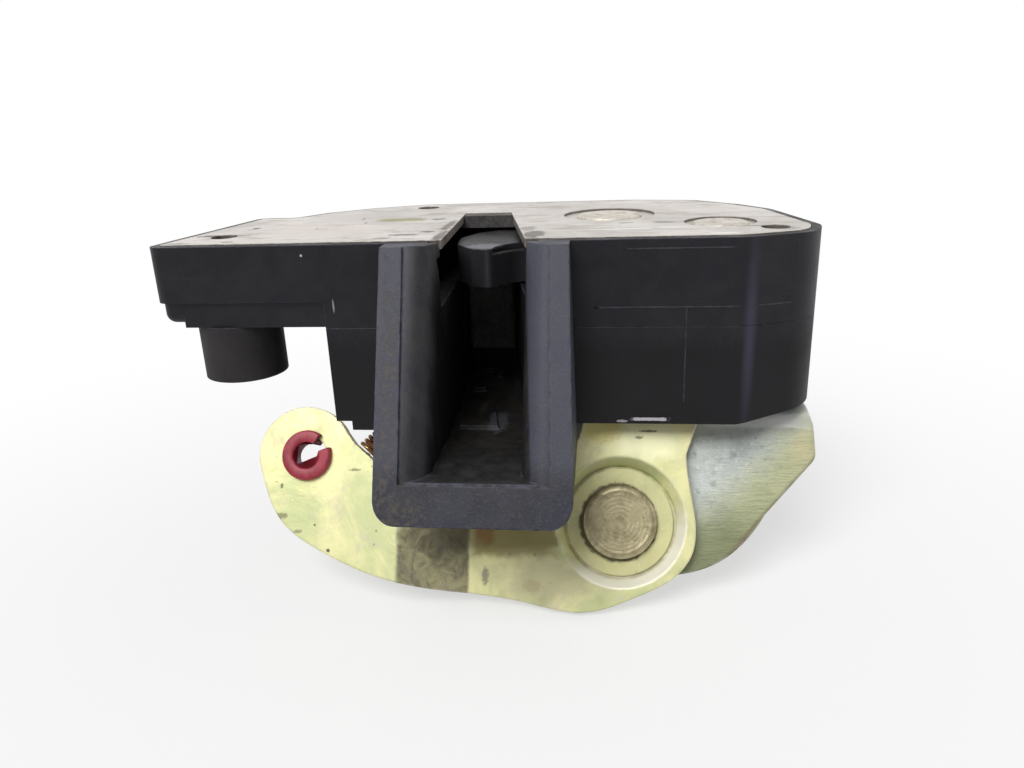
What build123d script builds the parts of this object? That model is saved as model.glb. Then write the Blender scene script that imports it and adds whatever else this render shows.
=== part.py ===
"""Car door latch with a built-in electric lock actuator.

Millimetres. Z = 0 is the outer face of the frame plate, which bolts to the door's shut face. X = 0, Y = 0
is the middle of the striker slot's mouth. The striker enters along +Y; +Z points out of the door.
"""
from build123d import *
from math import atan2, cos, degrees, pi, radians, sin
import os

# ---- driving dimensions -------------------------------------------------------------------------------
# Housing, seen from above: the corner points of its outline, and their rounding at its left and right.
PLAN = [(-62.3, 0), (45, 0), (57.1, 4.5), (58.8, 12), (54.2, 34.6), (49, 43.4), (40.6, 52.6),
        (26.5, 56.2), (-21.4, 56.6), (-33.7, 51.9), (-42.7, 45.2), (-47.6, 37.6), (-56, 38)]
plan_rounding, end_rounding, end_x = 2.4, 8.0, 20.0
rim_width = 1.7            # plastic rim round the steel plate
rim_drop = 0.15            # the rim lies this far under the plate's face
wall = 2.0
beyond = 200.0             # longer than the latch, for cuts that run right through
upper_wall = 2.6           # wall round the mechanism, under the plate
split_z = -15.3            # joint between the two housing shells
bottom_z = -33.5           # underside of the lower shell
web_top_z = -11.2          # floor under the fork
web_thickness = 1.6
web_left_x = -12.2         # the floor starts here, right of the motor
wing_x = -29.6             # the wing is the part left of this
wing_floor_z = -13.8
wing_bottom_z = -15.3
tier_top_z, tier_bottom_z = -10.5, -14.6   # the wing's stepped-in lower tier
tier_right_x, tier_rounding = -57.0, 1.8
seam_fit = 0.1             # clearance between nested mouldings

# Frame plate.
plate_t = 1.6
thread_r = 2.5             # tapping hole of an M6 thread
thread_length = 5.0
collar_r = 3.7
FIXINGS = [(-51.6, 10.5), (50.5, 9.5), (-20.0, 49.0)]

# Striker throat. It leans to the left as it goes in.
throat_half = 7.5
throat_left_back = -9.3
throat_right_back = 0.6
throat_depth_y = 37.5
throat_floor_z = -35.2
throat_wall = 2.0
floor_rounding = 3.0       # between the channel's floor and its right wall
# U-shaped front frame: x of its outer and inner edges at its top and at its foot.
frame_left, frame_right = (-17.3, -16.15), (14.8, 16.3)
frame_inner_left, frame_inner_right = (-13.4, -12.2), (11.6, 12.5)
frame_top_y = -4.0
frame_height = 46.6        # along its own slope
sill_height = 6.7
frame_step = 0.6
lead_in_r = 4.2
sill_rounding = 3.8
lean = 28.0                # degrees that the frame and the lever lean from upright

# Fork, pawl and their studs.
fork_x, fork_y = 21.5, 31.0
fork_open_angle = 48.0     # from latched to open; the fork rests open
fork_stud_r = 4.0
steel_top_z = -4.4
steel_t = 5.0
cover_skin = 1.1
cover_side = 1.0
kicker_r = 32.2
hook_r = 28.1
striker_r = 4.25
striker_gap = 0.45
striker_x, striker_y = -3.0, 29.0
lock_r = 17.0              # steel radius that the pawl rides on
lock_depth = 2.8
pawl_x, pawl_y = 42.0, 17.5
pawl_stud_r = 3.0
pawl_eye_r = 5.8
pawl_drop = 9.6            # degrees from riding on the fork to dropped behind its tooth
running_gap = 0.05

# Release lever, in its own leaning plane: x to the right, y up the slope.
lever_y0, lever_z0 = 6.0, -34.0
lever_t = 2.0
lobe_x, lobe_y, lobe_r = -36.6, -8.6, 9.2
jog_out = 2.5              # the lobe stands this far towards the viewer
jog_start_x, jog_end_x = -17.3, -4.4
pivot_x, pivot_y = 23.7, -20.1
dish_r, dish_floor_r, dish_depth = 12.0, 10.2, 1.5
rivet_r, rivet_head_r, rivet_head_t = 4.0, 6.7, 2.0
washer_r, washer_t = 9.8, 0.8
clip_x, clip_y = -36.1, -8.8
clip_hole_r, clip_bore_r, clip_flange_r, clip_flange_t = 3.8, 2.5, 4.8, 1.2
clip_split = 2.4
back_plate_t = 2.0
back_plate_gap = 0.1

# Lock drive.
motor_x, motor_z = -20.3, -10.4
motor_width, motor_height = 14.4, 14.6
motor_front_y, motor_length, motor_cap_length = 3.6, 18.9, 3.0
shaft_r = 1.0
tooth_module = 0.8
wheel_teeth = 24
worm_r = 3.2
worm_length = 11.0
worm_y = 33.5
tooth_height = 0.75
wheel_t = 4.0
pinion_teeth = 12
pinion_module = 1.0
pinion_t = 4.0
axle_r = 1.5

# Connector.
socket_x, socket_y = -49.6, 8.0
socket_r, socket_inner_r = 7.8, 6.1
socket_bottom_z = -26.0
blade_width, blade_t, blade_spread = 2.8, 0.8, 3.8

# Self-tapping screws between the shells.
SCREWS = [(-25.6, 49.0), (51.6, 30.4), (35.0, 48.6), (12.6, 49.0)]
screw_r, screw_head_r, screw_head_t, screw_boss_r = 1.5, 2.8, 1.8, 3.6

# ---- derived values ----------------------------------------------------------------------------------
web_bottom_z = web_top_z - web_thickness
steel_bottom_z = steel_top_z - steel_t
cover_top_z = steel_top_z + cover_skin
cover_bottom_z = steel_bottom_z - cover_skin
lean_sin, lean_cos = sin(radians(lean)), cos(radians(lean))
toward = (0, -lean_cos, lean_sin)
upslope = (0, lean_sin, lean_cos)
wheel_r = tooth_module * wheel_teeth / 2
wheel_x = motor_x - worm_r - wheel_r
wheel_y = worm_y
worm_pitch = pi * tooth_module
pinion_r = pinion_module * pinion_teeth / 2
wheel_z = motor_z - wheel_t / 2
pinion_z = wheel_z + wheel_t
back_plate_front = -dish_depth - lever_t - back_plate_gap
os.makedirs("parts", exist_ok=True)


def plan(inset=0.0, left=None, right=None):
    """The housing's outline, moved in by inset and cut off at x = left or x = right."""
    with BuildSketch() as outline:
        Polygon(*PLAN, align=None)
        fillet(outline.vertices().filter_by(lambda v: v.X < end_x), plan_rounding)
        fillet(outline.vertices().filter_by(lambda v: v.X > end_x), end_rounding)
        if inset:
            offset(amount=-inset, kind=Kind.INTERSECTION, mode=Mode.REPLACE)
        if left is not None:
            with Locations((left - beyond / 2, 0)):
                Rectangle(beyond, 2 * beyond, mode=Mode.SUBTRACT)
        if right is not None:
            with Locations((right + beyond / 2, 0)):
                Rectangle(beyond, 2 * beyond, mode=Mode.SUBTRACT)
    return outline.sketch


def throat(grow=0.0, back=0.0, front=30.0):
    """The channel's outline from above, with its walls moved out by grow."""
    slope_l = (throat_left_back + throat_half) / throat_depth_y
    slope_r = (throat_right_back - throat_half) / throat_depth_y
    end = throat_depth_y + back
    with BuildSketch() as channel:
        Polygon((-throat_half - grow, -front), (throat_half + grow, -front), (throat_half + grow, 0),
                (throat_right_back + grow + slope_r * back, end),
                (throat_left_back - grow + slope_l * back, end),
                (-throat_half - grow, 0), align=None)
    return channel.sketch


def polar(centre_x, centre_y, angle, radius):
    return (centre_x + radius * cos(radians(angle)), centre_y + radius * sin(radians(angle)))


def slope_plane(y0, z0, out=0.0):
    """A leaning plane through (0, y0, z0), moved out towards the striker's side."""
    return Plane(origin=(0, y0 + out * toward[1], z0 + out * toward[2]), x_dir=(1, 0, 0), z_dir=toward)


def lever_plane(out=0.0):
    return slope_plane(lever_y0, lever_z0, out)


# ---- frame plate: pressed steel, lies in the housing's rim -------------------------------------------
fork_recess_r, pawl_recess_r, recess_depth = 9.2, 6.6, 0.5

with BuildPart() as frame_plate:
    with BuildSketch():
        add(plan(rim_width + seam_fit))
        add(throat(), mode=Mode.SUBTRACT)
    extrude(amount=-plate_t)
    with Locations(*[(x, y, -thread_length / 2) for x, y in FIXINGS]):
        Cylinder(collar_r, thread_length)
    with Locations(*[(x, y, -thread_length / 2) for x, y in FIXINGS]):
        Cylinder(thread_r, thread_length + 1, mode=Mode.SUBTRACT)
    for x, y, recess_r, stud_r in ((fork_x, fork_y, fork_recess_r, fork_stud_r),
                                   (pawl_x, pawl_y, pawl_recess_r, pawl_stud_r)):
        with Locations((x, y, 0)):
            Cylinder(recess_r, 2 * recess_depth, mode=Mode.SUBTRACT)
            Cylinder(stud_r, 4 * plate_t, mode=Mode.SUBTRACT)
frame_plate.part.label = "frame_plate"
export_step(frame_plate.part, "parts/frame_plate.step")


# ---- upper shell: black moulding with the wing --------------------------------------------------------
plunger_half_z = pinion_t / 2 - 0.1
plunger_z = pinion_z + pinion_t / 2
plunger_back = 5.0
plunger_x = wheel_x - pinion_r - pinion_module
guide_width, guide_length = 3.0, 18.0
leg_slot_inner_r, leg_slot_outer_r = 9.8, 12.2   # slot for the leg of the fork's spring
leg_slot_start, leg_slot_sweep = 268, 60
pawl_hole_r = 5.4
axle_boss_r = 3.0
rest_y = worm_y + worm_length / 2 + 3.6
rest_right_x, rest_t = -11.8, 2.0
rest_clear_x = -25.6         # the rest stays clear of the wheel, right of this
neck_r = 5.0

with BuildPart() as latch_housing:
    with BuildSketch(Plane.XY.offset(-rim_drop)):
        add(plan())
    extrude(amount=split_z + rim_drop)
    # Wing: shallower, and stepped in towards its underside.
    with BuildSketch(Plane.XY.offset(wing_bottom_z)):
        add(plan(-1, right=wing_x))
    extrude(amount=split_z, mode=Mode.SUBTRACT)
    with BuildSketch(Plane.XY.offset(tier_top_z)):
        add(plan(-1, right=wing_x))
        add(plan(0.8, right=wing_x + 2), mode=Mode.SUBTRACT)
    extrude(amount=split_z, mode=Mode.SUBTRACT)
    with BuildSketch(Plane.XY.offset(tier_bottom_z)):
        add(plan(-1, right=tier_right_x))
    extrude(amount=split_z, mode=Mode.SUBTRACT)
    tier_edges = latch_housing.edges().filter_by_position(Axis.Z, tier_bottom_z, tier_bottom_z)
    fillet(tier_edges.filter_by(lambda edge: edge.center().X < tier_right_x - 0.1), tier_rounding)
    # Seat of the plate, then the space for the mechanism.
    with BuildSketch(Plane.XY):
        add(plan(rim_width))
    extrude(amount=-plate_t, mode=Mode.SUBTRACT)
    with BuildSketch(Plane.XY.offset(-plate_t)):
        add(plan(upper_wall))
    extrude(amount=web_top_z + plate_t, mode=Mode.SUBTRACT)
    with BuildSketch(Plane.XY.offset(web_top_z)):
        add(plan(upper_wall, right=wing_x))
    extrude(amount=wing_floor_z - web_top_z, mode=Mode.SUBTRACT)
    with BuildSketch(Plane.XY.offset(web_top_z)):
        add(plan(upper_wall, left=wing_x + wall, right=web_left_x))
    extrude(amount=2 * split_z, mode=Mode.SUBTRACT)
    with BuildSketch(Plane.XY.offset(web_top_z)):
        add(plan(upper_wall, left=wing_x, right=wing_x + wall))
    extrude(amount=wing_floor_z - web_top_z, mode=Mode.SUBTRACT)
    with BuildSketch(Plane.XY.offset(web_bottom_z)):
        add(plan(wall, left=web_left_x))
    extrude(amount=2 * split_z, mode=Mode.SUBTRACT)
    # Bosses for the screws, cored for their threads.
    with BuildSketch(Plane.XY.offset(split_z)):
        with Locations(*SCREWS):
            Circle(screw_boss_r)
    extrude(amount=web_bottom_z - split_z)
    with BuildSketch(Plane.XY.offset(split_z)):
        with Locations(*SCREWS):
            Circle(screw_r)
    extrude(amount=web_bottom_z - split_z - 0.6, mode=Mode.SUBTRACT)
    # Boss of the wheel's axle and the rest of the worm's shaft.
    with Locations((wheel_x, wheel_y, (wing_floor_z + wheel_z - 0.2) / 2)):
        Cylinder(axle_boss_r, wheel_z - 0.2 - wing_floor_z)
    with Locations((wheel_x, wheel_y, wheel_z - 0.9)):
        Cylinder(axle_r, 2, mode=Mode.SUBTRACT)
    for rest_left, rest_low, rest_high in ((wing_x + wall, split_z, web_bottom_z),
                                           (rest_clear_x, split_z, motor_z + 1.6)):
        with Locations(((rest_left + rest_right_x) / 2, rest_y, (rest_low + rest_high) / 2)):
            Box(rest_right_x - rest_left, rest_t, rest_high - rest_low)
    with Locations((motor_x, rest_y, motor_z + 2 * shaft_r)):
        Box(2 * (shaft_r + running_gap), rest_t + 1, 4 * shaft_r, mode=Mode.SUBTRACT)
    with Locations(Location((motor_x, rest_y, motor_z), (90, 0, 0))):
        Cylinder(shaft_r + running_gap, rest_t + 1, mode=Mode.SUBTRACT)
    # Guide under and beside the plunger.
    with Locations((plunger_x - 5.3, wheel_y - 2.0, (wing_floor_z + plunger_z) / 2)):
        Box(guide_width, guide_length, plunger_z - wing_floor_z)
    with Locations((plunger_x + 1.0 - plunger_back / 2 + 0.4, wheel_y - 2.0, plunger_z)):
        Box(plunger_back + 1.0, guide_length + 1, 2 * plunger_half_z + 0.1, mode=Mode.SUBTRACT)
    # Openings: throat, studs, fork spring's leg, socket's neck, plunger.
    with BuildSketch(Plane.XY):
        add(throat(throat_wall + seam_fit, throat_wall + seam_fit))
    extrude(amount=2 * split_z, mode=Mode.SUBTRACT)
    with Locations((fork_x, fork_y, web_top_z)):
        Cylinder(fork_stud_r + 0.1, 6, mode=Mode.SUBTRACT)
    with Locations((pawl_x, pawl_y, web_top_z)):
        Cylinder(pawl_hole_r, 6, mode=Mode.SUBTRACT)
    with Locations((socket_x, socket_y, wing_floor_z)):
        Cylinder(neck_r + seam_fit, 6, mode=Mode.SUBTRACT)
    with Locations((plunger_x - plunger_back / 2 + 1, 46, plunger_z)):
        Box(plunger_back + 2.6, 24, 2 * plunger_half_z + 0.4, mode=Mode.SUBTRACT)
    with BuildSketch(Plane.XY.offset(web_top_z)):
        with BuildLine():
            outer = CenterArc((fork_x, fork_y), leg_slot_outer_r, leg_slot_start, leg_slot_sweep)
            inner = CenterArc((fork_x, fork_y), leg_slot_inner_r, leg_slot_start, leg_slot_sweep)
            Line(outer @ 0, inner @ 0)
            Line(outer @ 1, inner @ 1)
        make_face()
    extrude(amount=-2 * web_thickness, mode=Mode.SUBTRACT)
latch_housing.part.label = "latch_housing"
export_step(latch_housing.part, "parts/latch_housing.step")


# ---- throat guide: moulded channel with the leaning U-shaped frame ----------------------------------
frame_bottom_y = frame_top_y - frame_height * lean_sin
frame_bottom_z = -frame_height * lean_cos
floor_bottom_z = throat_floor_z - throat_wall
fork_window_top_z = -2.6
fork_window_bottom_z = -11.0
mouth_plane = slope_plane(frame_top_y, 0)

frame_reach = 20.0          # half the length that the frame's outline is cut from


def frame_outline(left, right, low, high=0.0):
    """A four-sided outline on the mouth's slope, between edges given at the frame's top and foot."""
    with BuildSketch() as outline:
        Polygon((left[0], high), (left[1], -low), (right[1], -low), (right[0], high), align=None)
    return outline.sketch


with BuildPart() as throat_guide:
    with BuildSketch(Plane.YZ.offset(-frame_reach)):
        Polygon((frame_top_y - rim_drop * lean_sin, -rim_drop), (frame_bottom_y, frame_bottom_z),
                (frame_bottom_y + 6.5, frame_bottom_z), (-12, floor_bottom_z),
                (-seam_fit, floor_bottom_z), (-seam_fit, -rim_drop), align=None)
    extrude(amount=2 * frame_reach)
    with BuildSketch(slope_plane(frame_top_y, 0, frame_reach)):
        add(frame_outline(frame_left, frame_right, frame_height, 10))
    extrude(amount=-2.5 * frame_reach, mode=Mode.INTERSECT)
    with BuildSketch(Plane.XY.offset(fork_window_bottom_z)):
        add(throat(throat_wall, throat_wall, front=0.5))
    extrude(amount=floor_bottom_z - fork_window_bottom_z)
    with BuildSketch(Plane.XY.offset(throat_floor_z)):
        add(throat())
    extrude(amount=-throat_floor_z + 1, mode=Mode.SUBTRACT)
    # The frame's flat border stands proud of the lead-ins.
    with BuildSketch(mouth_plane):
        add(frame_outline(frame_inner_left, frame_inner_right, frame_height - sill_height, 10))
    extrude(amount=-frame_step, mode=Mode.SUBTRACT)
    mouth = slope_plane(frame_top_y, 0, -frame_step)
    for side in (-1, 1):
        inner_edge = mouth.from_local_coords((side * throat_half, -frame_height / 2, 0))
        fillet(throat_guide.edges().sort_by_distance(inner_edge)[0], lead_in_r)
    floor_edge = ((throat_half + throat_right_back) / 2, throat_depth_y / 2, throat_floor_z)
    fillet(throat_guide.edges().sort_by_distance(floor_edge)[0], floor_rounding)
    # Pocket in the left cheek where the fork's tip passes.
    with Locations((-throat_half - 1.0, -0.9, (fork_window_top_z + fork_window_bottom_z) / 2)):
        Box(3.4, 2.0, fork_window_top_z - fork_window_bottom_z, mode=Mode.SUBTRACT)
    # Worn pad and rib on the channel's floor.
    with BuildSketch(Plane.XY.offset(throat_floor_z)):
        Polygon((-6.4, 0.6), (1.4, 0.6), (-0.9, 12.4), (-7.6, 12.4), align=None)
    extrude(amount=0.7, taper=20)
    with BuildSketch(Plane.XY.offset(throat_floor_z)):
        with Locations((-5.8, 22.5)):
            RectangleRounded(3.4, 2.0, 0.8)
    extrude(amount=0.8)
    with BuildSketch(Plane.XY.offset(throat_floor_z)):
        with BuildLine():
            ThreePointArc((-8.4, 30.5), (-6.0, 34.6), (-2.4, 31.0))
            offset(amount=0.5)
        make_face()
    extrude(amount=0.9)
    for x in (frame_left[1], frame_right[1]):
        corner = (x, frame_bottom_y + 3.0, frame_bottom_z)
        fillet(throat_guide.edges().sort_by_distance(corner)[0], sill_rounding)
throat_guide.part.label = "throat_guide"
export_step(throat_guide.part, "parts/throat_guide.step")


# ---- lower shell: black moulding that holds the motor and covers the linkage -------------------------
lever_slot_y = (4.9, 10.2)
lever_slot_x = (13.0, 52.0)
skirt_x, skirt_t, skirt_depth = -26.6, 1.8, 1.8
notch_x, notch_y, notch_top_z = -26.0, (2.2, 13.0), -29.5
peg_x, peg_y, peg_r, peg_length = -18.5, 9.5, 1.2, 4.6
saddle_top_z = motor_z - motor_height / 2
rise_start_x, rise_end_x, end_rise = 44.0, 62.0, 2.8   # the underside rises towards the right end

with BuildPart() as actuator_housing:
    with BuildSketch(Plane.XY.offset(split_z - 0.05)):
        add(plan(left=wing_x))
    extrude(amount=bottom_z - split_z + 0.05)
    with BuildSketch(Plane.XY.offset(split_z)):
        add(plan(wall, left=wing_x + wall))
    extrude(amount=bottom_z + wall - split_z, mode=Mode.SUBTRACT)
    # Solid front corner with the notch that the lever's lobe swings through.
    with BuildSketch(Plane.XY.offset(bottom_z)):
        with Locations(((wing_x + notch_x + wall) / 2, (wall / 2 + notch_y[1] + wall) / 2)):
            Rectangle(notch_x + wall - wing_x, notch_y[1] + wall - wall / 2)
    extrude(amount=notch_top_z + wall - bottom_z)
    with Locations(((wing_x - 2 + notch_x) / 2, sum(notch_y) / 2, (notch_top_z + bottom_z - 2) / 2)):
        Box(notch_x - wing_x + 2, notch_y[1] - notch_y[0], notch_top_z - bottom_z + 2, mode=Mode.SUBTRACT)
    # Skirt under the front wall, beside the throat.
    skirt_end_x = frame_left[1] + 5
    with Locations(((skirt_x + skirt_end_x) / 2, skirt_t / 2, bottom_z - skirt_depth / 2)):
        Box(skirt_end_x - skirt_x, skirt_t, skirt_depth + 0.001)
    # Two saddles carry the motor, one peg holds the lever's spring.
    for y in (motor_front_y + 4.5, motor_front_y + motor_length - 3.0):
        with Locations((motor_x + 0.4, y, (saddle_top_z + bottom_z + 1) / 2)):
            Box(motor_width - 1.0, 1.6, saddle_top_z - bottom_z - 1)
    with Locations((peg_x, peg_y, bottom_z - peg_length / 2 + 0.5)):
        Cylinder(peg_r, peg_length + 1)
    # Screw bosses with sunk heads.
    with BuildSketch(Plane.XY.offset(bottom_z)):
        with Locations(*SCREWS):
            Circle(screw_boss_r + 0.6)
    extrude(amount=split_z - 0.1 - bottom_z)
    with BuildSketch(Plane.XY.offset(bottom_z)):
        with Locations(*SCREWS):
            Circle(screw_r + 0.15)
    extrude(amount=split_z - bottom_z, mode=Mode.SUBTRACT)
    with BuildSketch(Plane.XY.offset(bottom_z)):
        with Locations(*SCREWS):
            Circle(screw_head_r + 0.2)
    extrude(amount=back_plate_t + 0.2, mode=Mode.SUBTRACT)
    with BuildSketch(Plane.XZ):
        Polygon((rise_start_x, bottom_z), (rise_end_x, bottom_z), (rise_end_x, bottom_z + end_rise),
                align=None)
    extrude(amount=beyond, both=True, mode=Mode.SUBTRACT)
    # Openings: throat, lever, studs.
    with BuildSketch(Plane.XY):
        add(throat(throat_wall + seam_fit, throat_wall + seam_fit))
    extrude(amount=2 * bottom_z, mode=Mode.SUBTRACT)
    with Locations((sum(lever_slot_x) / 2, sum(lever_slot_y) / 2, bottom_z)):
        Box(lever_slot_x[1] - lever_slot_x[0], lever_slot_y[1] - lever_slot_y[0], 3 * wall,
            mode=Mode.SUBTRACT)
    with Locations((fork_x, fork_y, bottom_z)):
        Cylinder(fork_stud_r + 0.05, 3 * wall, mode=Mode.SUBTRACT)
    with Locations((pawl_x, pawl_y, bottom_z)):
        Cylinder(pawl_stud_r + 0.05, 3 * wall, mode=Mode.SUBTRACT)
actuator_housing.part.label = "actuator_housing"
export_step(actuator_housing.part, "parts/actuator_housing.step")


# ---- rubber buffers that stop the striker ------------------------------------------------------------
buffer_front_y = striker_y + striker_r + 0.3
buffer_lip = 1.3
buffer_rounding = 0.3 * (throat_depth_y - buffer_front_y)

with BuildPart() as slot_buffer:
    with BuildSketch(Plane.XY.offset(-0.1)):
        add(throat(-0.1, -0.1))
        with Locations((0, buffer_front_y - beyond / 2)):
            Rectangle(beyond, beyond, mode=Mode.SUBTRACT)
    extrude(amount=-plate_t + 0.1)
    with BuildSketch(Plane.XY.offset(-plate_t)):
        add(throat(buffer_lip, buffer_lip))
        with Locations((0, buffer_front_y - beyond / 2)):
            Rectangle(beyond, beyond, mode=Mode.SUBTRACT)
    extrude(amount=-1.0)
slot_buffer.part.label = "slot_buffer"
export_step(slot_buffer.part, "parts/slot_buffer.step")

with BuildPart() as striker_buffer:
    with BuildSketch(Plane.XY.offset(web_top_z - 1.0)):
        add(throat(0, 0))
        with Locations((0, buffer_front_y - beyond / 2)):
            Rectangle(beyond, beyond, mode=Mode.SUBTRACT)
    extrude(amount=-17.0)
    front_edges = striker_buffer.faces().sort_by(Axis.Y)[0].edges().filter_by(Axis.Z)
    fillet(front_edges, buffer_rounding)
striker_buffer.part.label = "striker_buffer"
export_step(striker_buffer.part, "parts/striker_buffer.step")


# ---- fork: hooked steel bolt with a moulded cover, turns on its stud ---------------------------------
def fork_point(angle, radius):
    return polar(fork_x, fork_y, angle, radius)


def fork_seat():
    """Angle and radius of the striker's seat, seen from the fork's stud, in the open position."""
    dx, dy = striker_x - fork_x, striker_y - fork_y
    return degrees(atan2(dy, dx)) % 360 + fork_open_angle, (dx ** 2 + dy ** 2) ** 0.5


def fork_outline():
    """Outline of the fork and its cover in the open position, with the striker's mouth cut in."""
    lock_end = 57.5                     # where the locking tooth's face stands when open
    r1, r0 = lock_r + cover_side, lock_r - lock_depth + cover_side
    rim = [(226, kicker_r - 2.4), (217, kicker_r - 0.2), (206, kicker_r + 0.2), (192, 30.5), (180, 27.0)]
    rim += [(166, 21.5), (148, 17.0), (120, r0), (95, r0), (74, r0), (lock_end + 1.5, r0), (lock_end, r1)]
    # Behind the locking tooth lies a second seat, which the pawl drops into while the fork is open.
    rim += [(46, r1), (35, r1), (33, r0), (20, r0), (6.5, r0), (5.5, r1), (0, r1)]
    rim += [(346, 16.0), (322, 16.4), (304, 21.5), (292, 27.2)]
    rim += [(angle, hook_r) for angle in (280, 268, 256, 246)]
    rim += [(240, hook_r - 0.6), (236, 24)]
    nose_x, nose_rounding = 2.0, 3.0
    seat_angle, seat_r = fork_seat()
    half = striker_r + striker_gap
    with BuildSketch() as outline:
        Polygon(*[fork_point(a, r) for a, r in rim], align=None)
        fillet(outline.vertices().filter_by(lambda v: v.Y < fork_y + 6 and v.X < nose_x), nose_rounding)
        fillet(outline.vertices().filter_by(lambda v: v.Y < fork_y and nose_x < v.X < fork_x), 1.2)
        with Locations(fork_point(seat_angle, seat_r)):
            Circle(half, mode=Mode.SUBTRACT)
        with Locations(Location((*fork_point(seat_angle, seat_r), 0), (0, 0, 180 + fork_open_angle))):
            Rectangle(30, 2 * half, align=(Align.MIN, Align.CENTER), mode=Mode.SUBTRACT)
        fillet(outline.vertices().sort_by_distance(fork_point(223.5, kicker_r - 2.4))[0], 1.6)
    return outline.sketch


def fork_steel():
    with BuildSketch() as steel:
        add(fork_outline())
        offset(amount=-cover_side, kind=Kind.INTERSECTION, mode=Mode.REPLACE)
    return steel.sketch


with BuildPart() as fork_bolt:
    with BuildSketch(Plane.XY.offset(steel_bottom_z)):
        add(fork_steel())
        with Locations((fork_x, fork_y)):
            Circle(fork_stud_r + running_gap, mode=Mode.SUBTRACT)
    extrude(amount=steel_t)
fork_bolt.part.label = "fork_bolt"
export_step(fork_bolt.part, "parts/fork_bolt.step")

with BuildPart() as fork_cover:
    with BuildSketch(Plane.XY.offset(cover_bottom_z)):
        add(fork_outline())
        Polygon((fork_x, fork_y), fork_point(150, 60), fork_point(225, 90), fork_point(300, 60),
                align=None, mode=Mode.INTERSECT)
        with Locations((fork_x, fork_y)):
            Circle(12.5, mode=Mode.SUBTRACT)
    extrude(amount=cover_top_z - cover_bottom_z)
    with BuildSketch(Plane.XY.offset(steel_bottom_z)):
        add(fork_steel())
    extrude(amount=steel_t, mode=Mode.SUBTRACT)
    # The cover's top stops short of the striker's seat.
    with BuildSketch(Plane.XY.offset(steel_top_z)):
        with Locations(fork_point(*fork_seat())):
            Circle(striker_r + 2.4)
    extrude(amount=2 * cover_skin, mode=Mode.SUBTRACT)
fork_cover.part.label = "fork_cover"
export_step(fork_cover.part, "parts/fork_cover.step")

stud_tail_t = 1.4
fork_collar_r = 6.8
plate_back_z = bottom_z - back_plate_t

with BuildPart() as fork_stud:
    with BuildSketch(Plane(origin=(fork_x, fork_y, 0), x_dir=(1, 0, 0), z_dir=(0, -1, 0))):
        with BuildLine():
            Polyline((0, -0.05), (6.2, -0.05), (6.6, -recess_depth), (fork_stud_r, -recess_depth),
                     (fork_stud_r, steel_bottom_z - running_gap), (fork_collar_r, steel_bottom_z - running_gap),
                     (fork_collar_r, web_top_z), (fork_stud_r, web_top_z), (fork_stud_r, plate_back_z),
                     (6.0, plate_back_z), (5.2, plate_back_z - stud_tail_t),
                     (0, plate_back_z - stud_tail_t), close=True)
        make_face()
    revolve(axis=Axis((fork_x, fork_y, 0), (0, 0, 1)))
fork_stud.part.label = "fork_stud"
export_step(fork_stud.part, "parts/fork_stud.step")


# ---- springs -------------------------------------------------------------------------------------------
def coil(centre, axis, coil_r, wire_r, pitch, turns):
    """A helical spring's coil that starts at centre and runs along axis."""
    with BuildPart() as spring:
        with BuildLine():
            path = Helix(pitch=pitch, height=pitch * turns, radius=coil_r, center=centre, direction=axis)
        with BuildSketch(Plane(origin=path @ 0, z_dir=path % 0)):
            Circle(wire_r)
        sweep(path=path, is_frenet=True)
    return spring.part


fork_spring_r, fork_wire_r = 6.6, 0.55
with BuildPart() as fork_spring:
    add(coil((fork_x, fork_y, web_bottom_z - 3.6), (0, 0, 1), fork_spring_r, fork_wire_r, 1.3, 2))
    # One leg runs up through the floor's slot into the fork, the other rests on a screw boss.
    with Locations((fork_x + fork_spring_r, fork_y, web_bottom_z - 3.6)):
        Sphere(fork_wire_r)
fork_spring.part.label = "fork_spring"
export_step(fork_spring.part, "parts/fork_spring.step")


# ---- pawl: steel catch with a moulded back, driven by an arm on its sleeve -----------------------------
def dropped(x, y):
    """A point of the pawl in its dropped position, turned to where it rests on the fork."""
    dx, dy = x - pawl_x, y - pawl_y
    c, s = cos(radians(-pawl_drop)), sin(radians(-pawl_drop))
    return (pawl_x + c * dx - s * dy, pawl_y + s * dx + c * dy)


tooth_angle = 57.5 - fork_open_angle    # the fork's locking face when latched
pawl_points = [fork_point(tooth_angle + 4.6, lock_r - lock_depth + 0.6),
               fork_point(tooth_angle + 1.4, lock_r + 0.5), (38.9, 31.6), (39.3, 27.0), (38.4, 22.2),
               (40.0, 14.0), (46.6, 14.8), (47.4, 20.0), (46.6, 29.0), (44.2, 36.2), (41.2, 38.4),
               fork_point(tooth_angle + 17.0, lock_r - lock_depth + 0.9)]


def pawl_outline():
    with BuildSketch() as outline:
        Polygon(*[dropped(*p) for p in pawl_points], align=None)
        with Locations((pawl_x, pawl_y)):
            Circle(pawl_eye_r)
            Circle(pawl_stud_r + running_gap, mode=Mode.SUBTRACT)
    return outline.sketch


with BuildPart() as pawl:
    with BuildSketch(Plane.XY.offset(steel_bottom_z)):
        add(pawl_outline())
    extrude(amount=steel_t)
pawl.part.label = "pawl"
export_step(pawl.part, "parts/pawl.step")

with BuildPart() as pawl_cover:
    with BuildSketch(Plane.XY.offset(steel_top_z)):
        Polygon(*[dropped(*p) for p in ((40.6, 24.6), (46.9, 24.6), (46.2, 29.0), (43.9, 35.9),
                                        (41.3, 37.6), (40.2, 33.0))], align=None)
    extrude(amount=cover_skin)
pawl_cover.part.label = "pawl_cover"
export_step(pawl_cover.part, "parts/pawl_cover.step")

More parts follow.
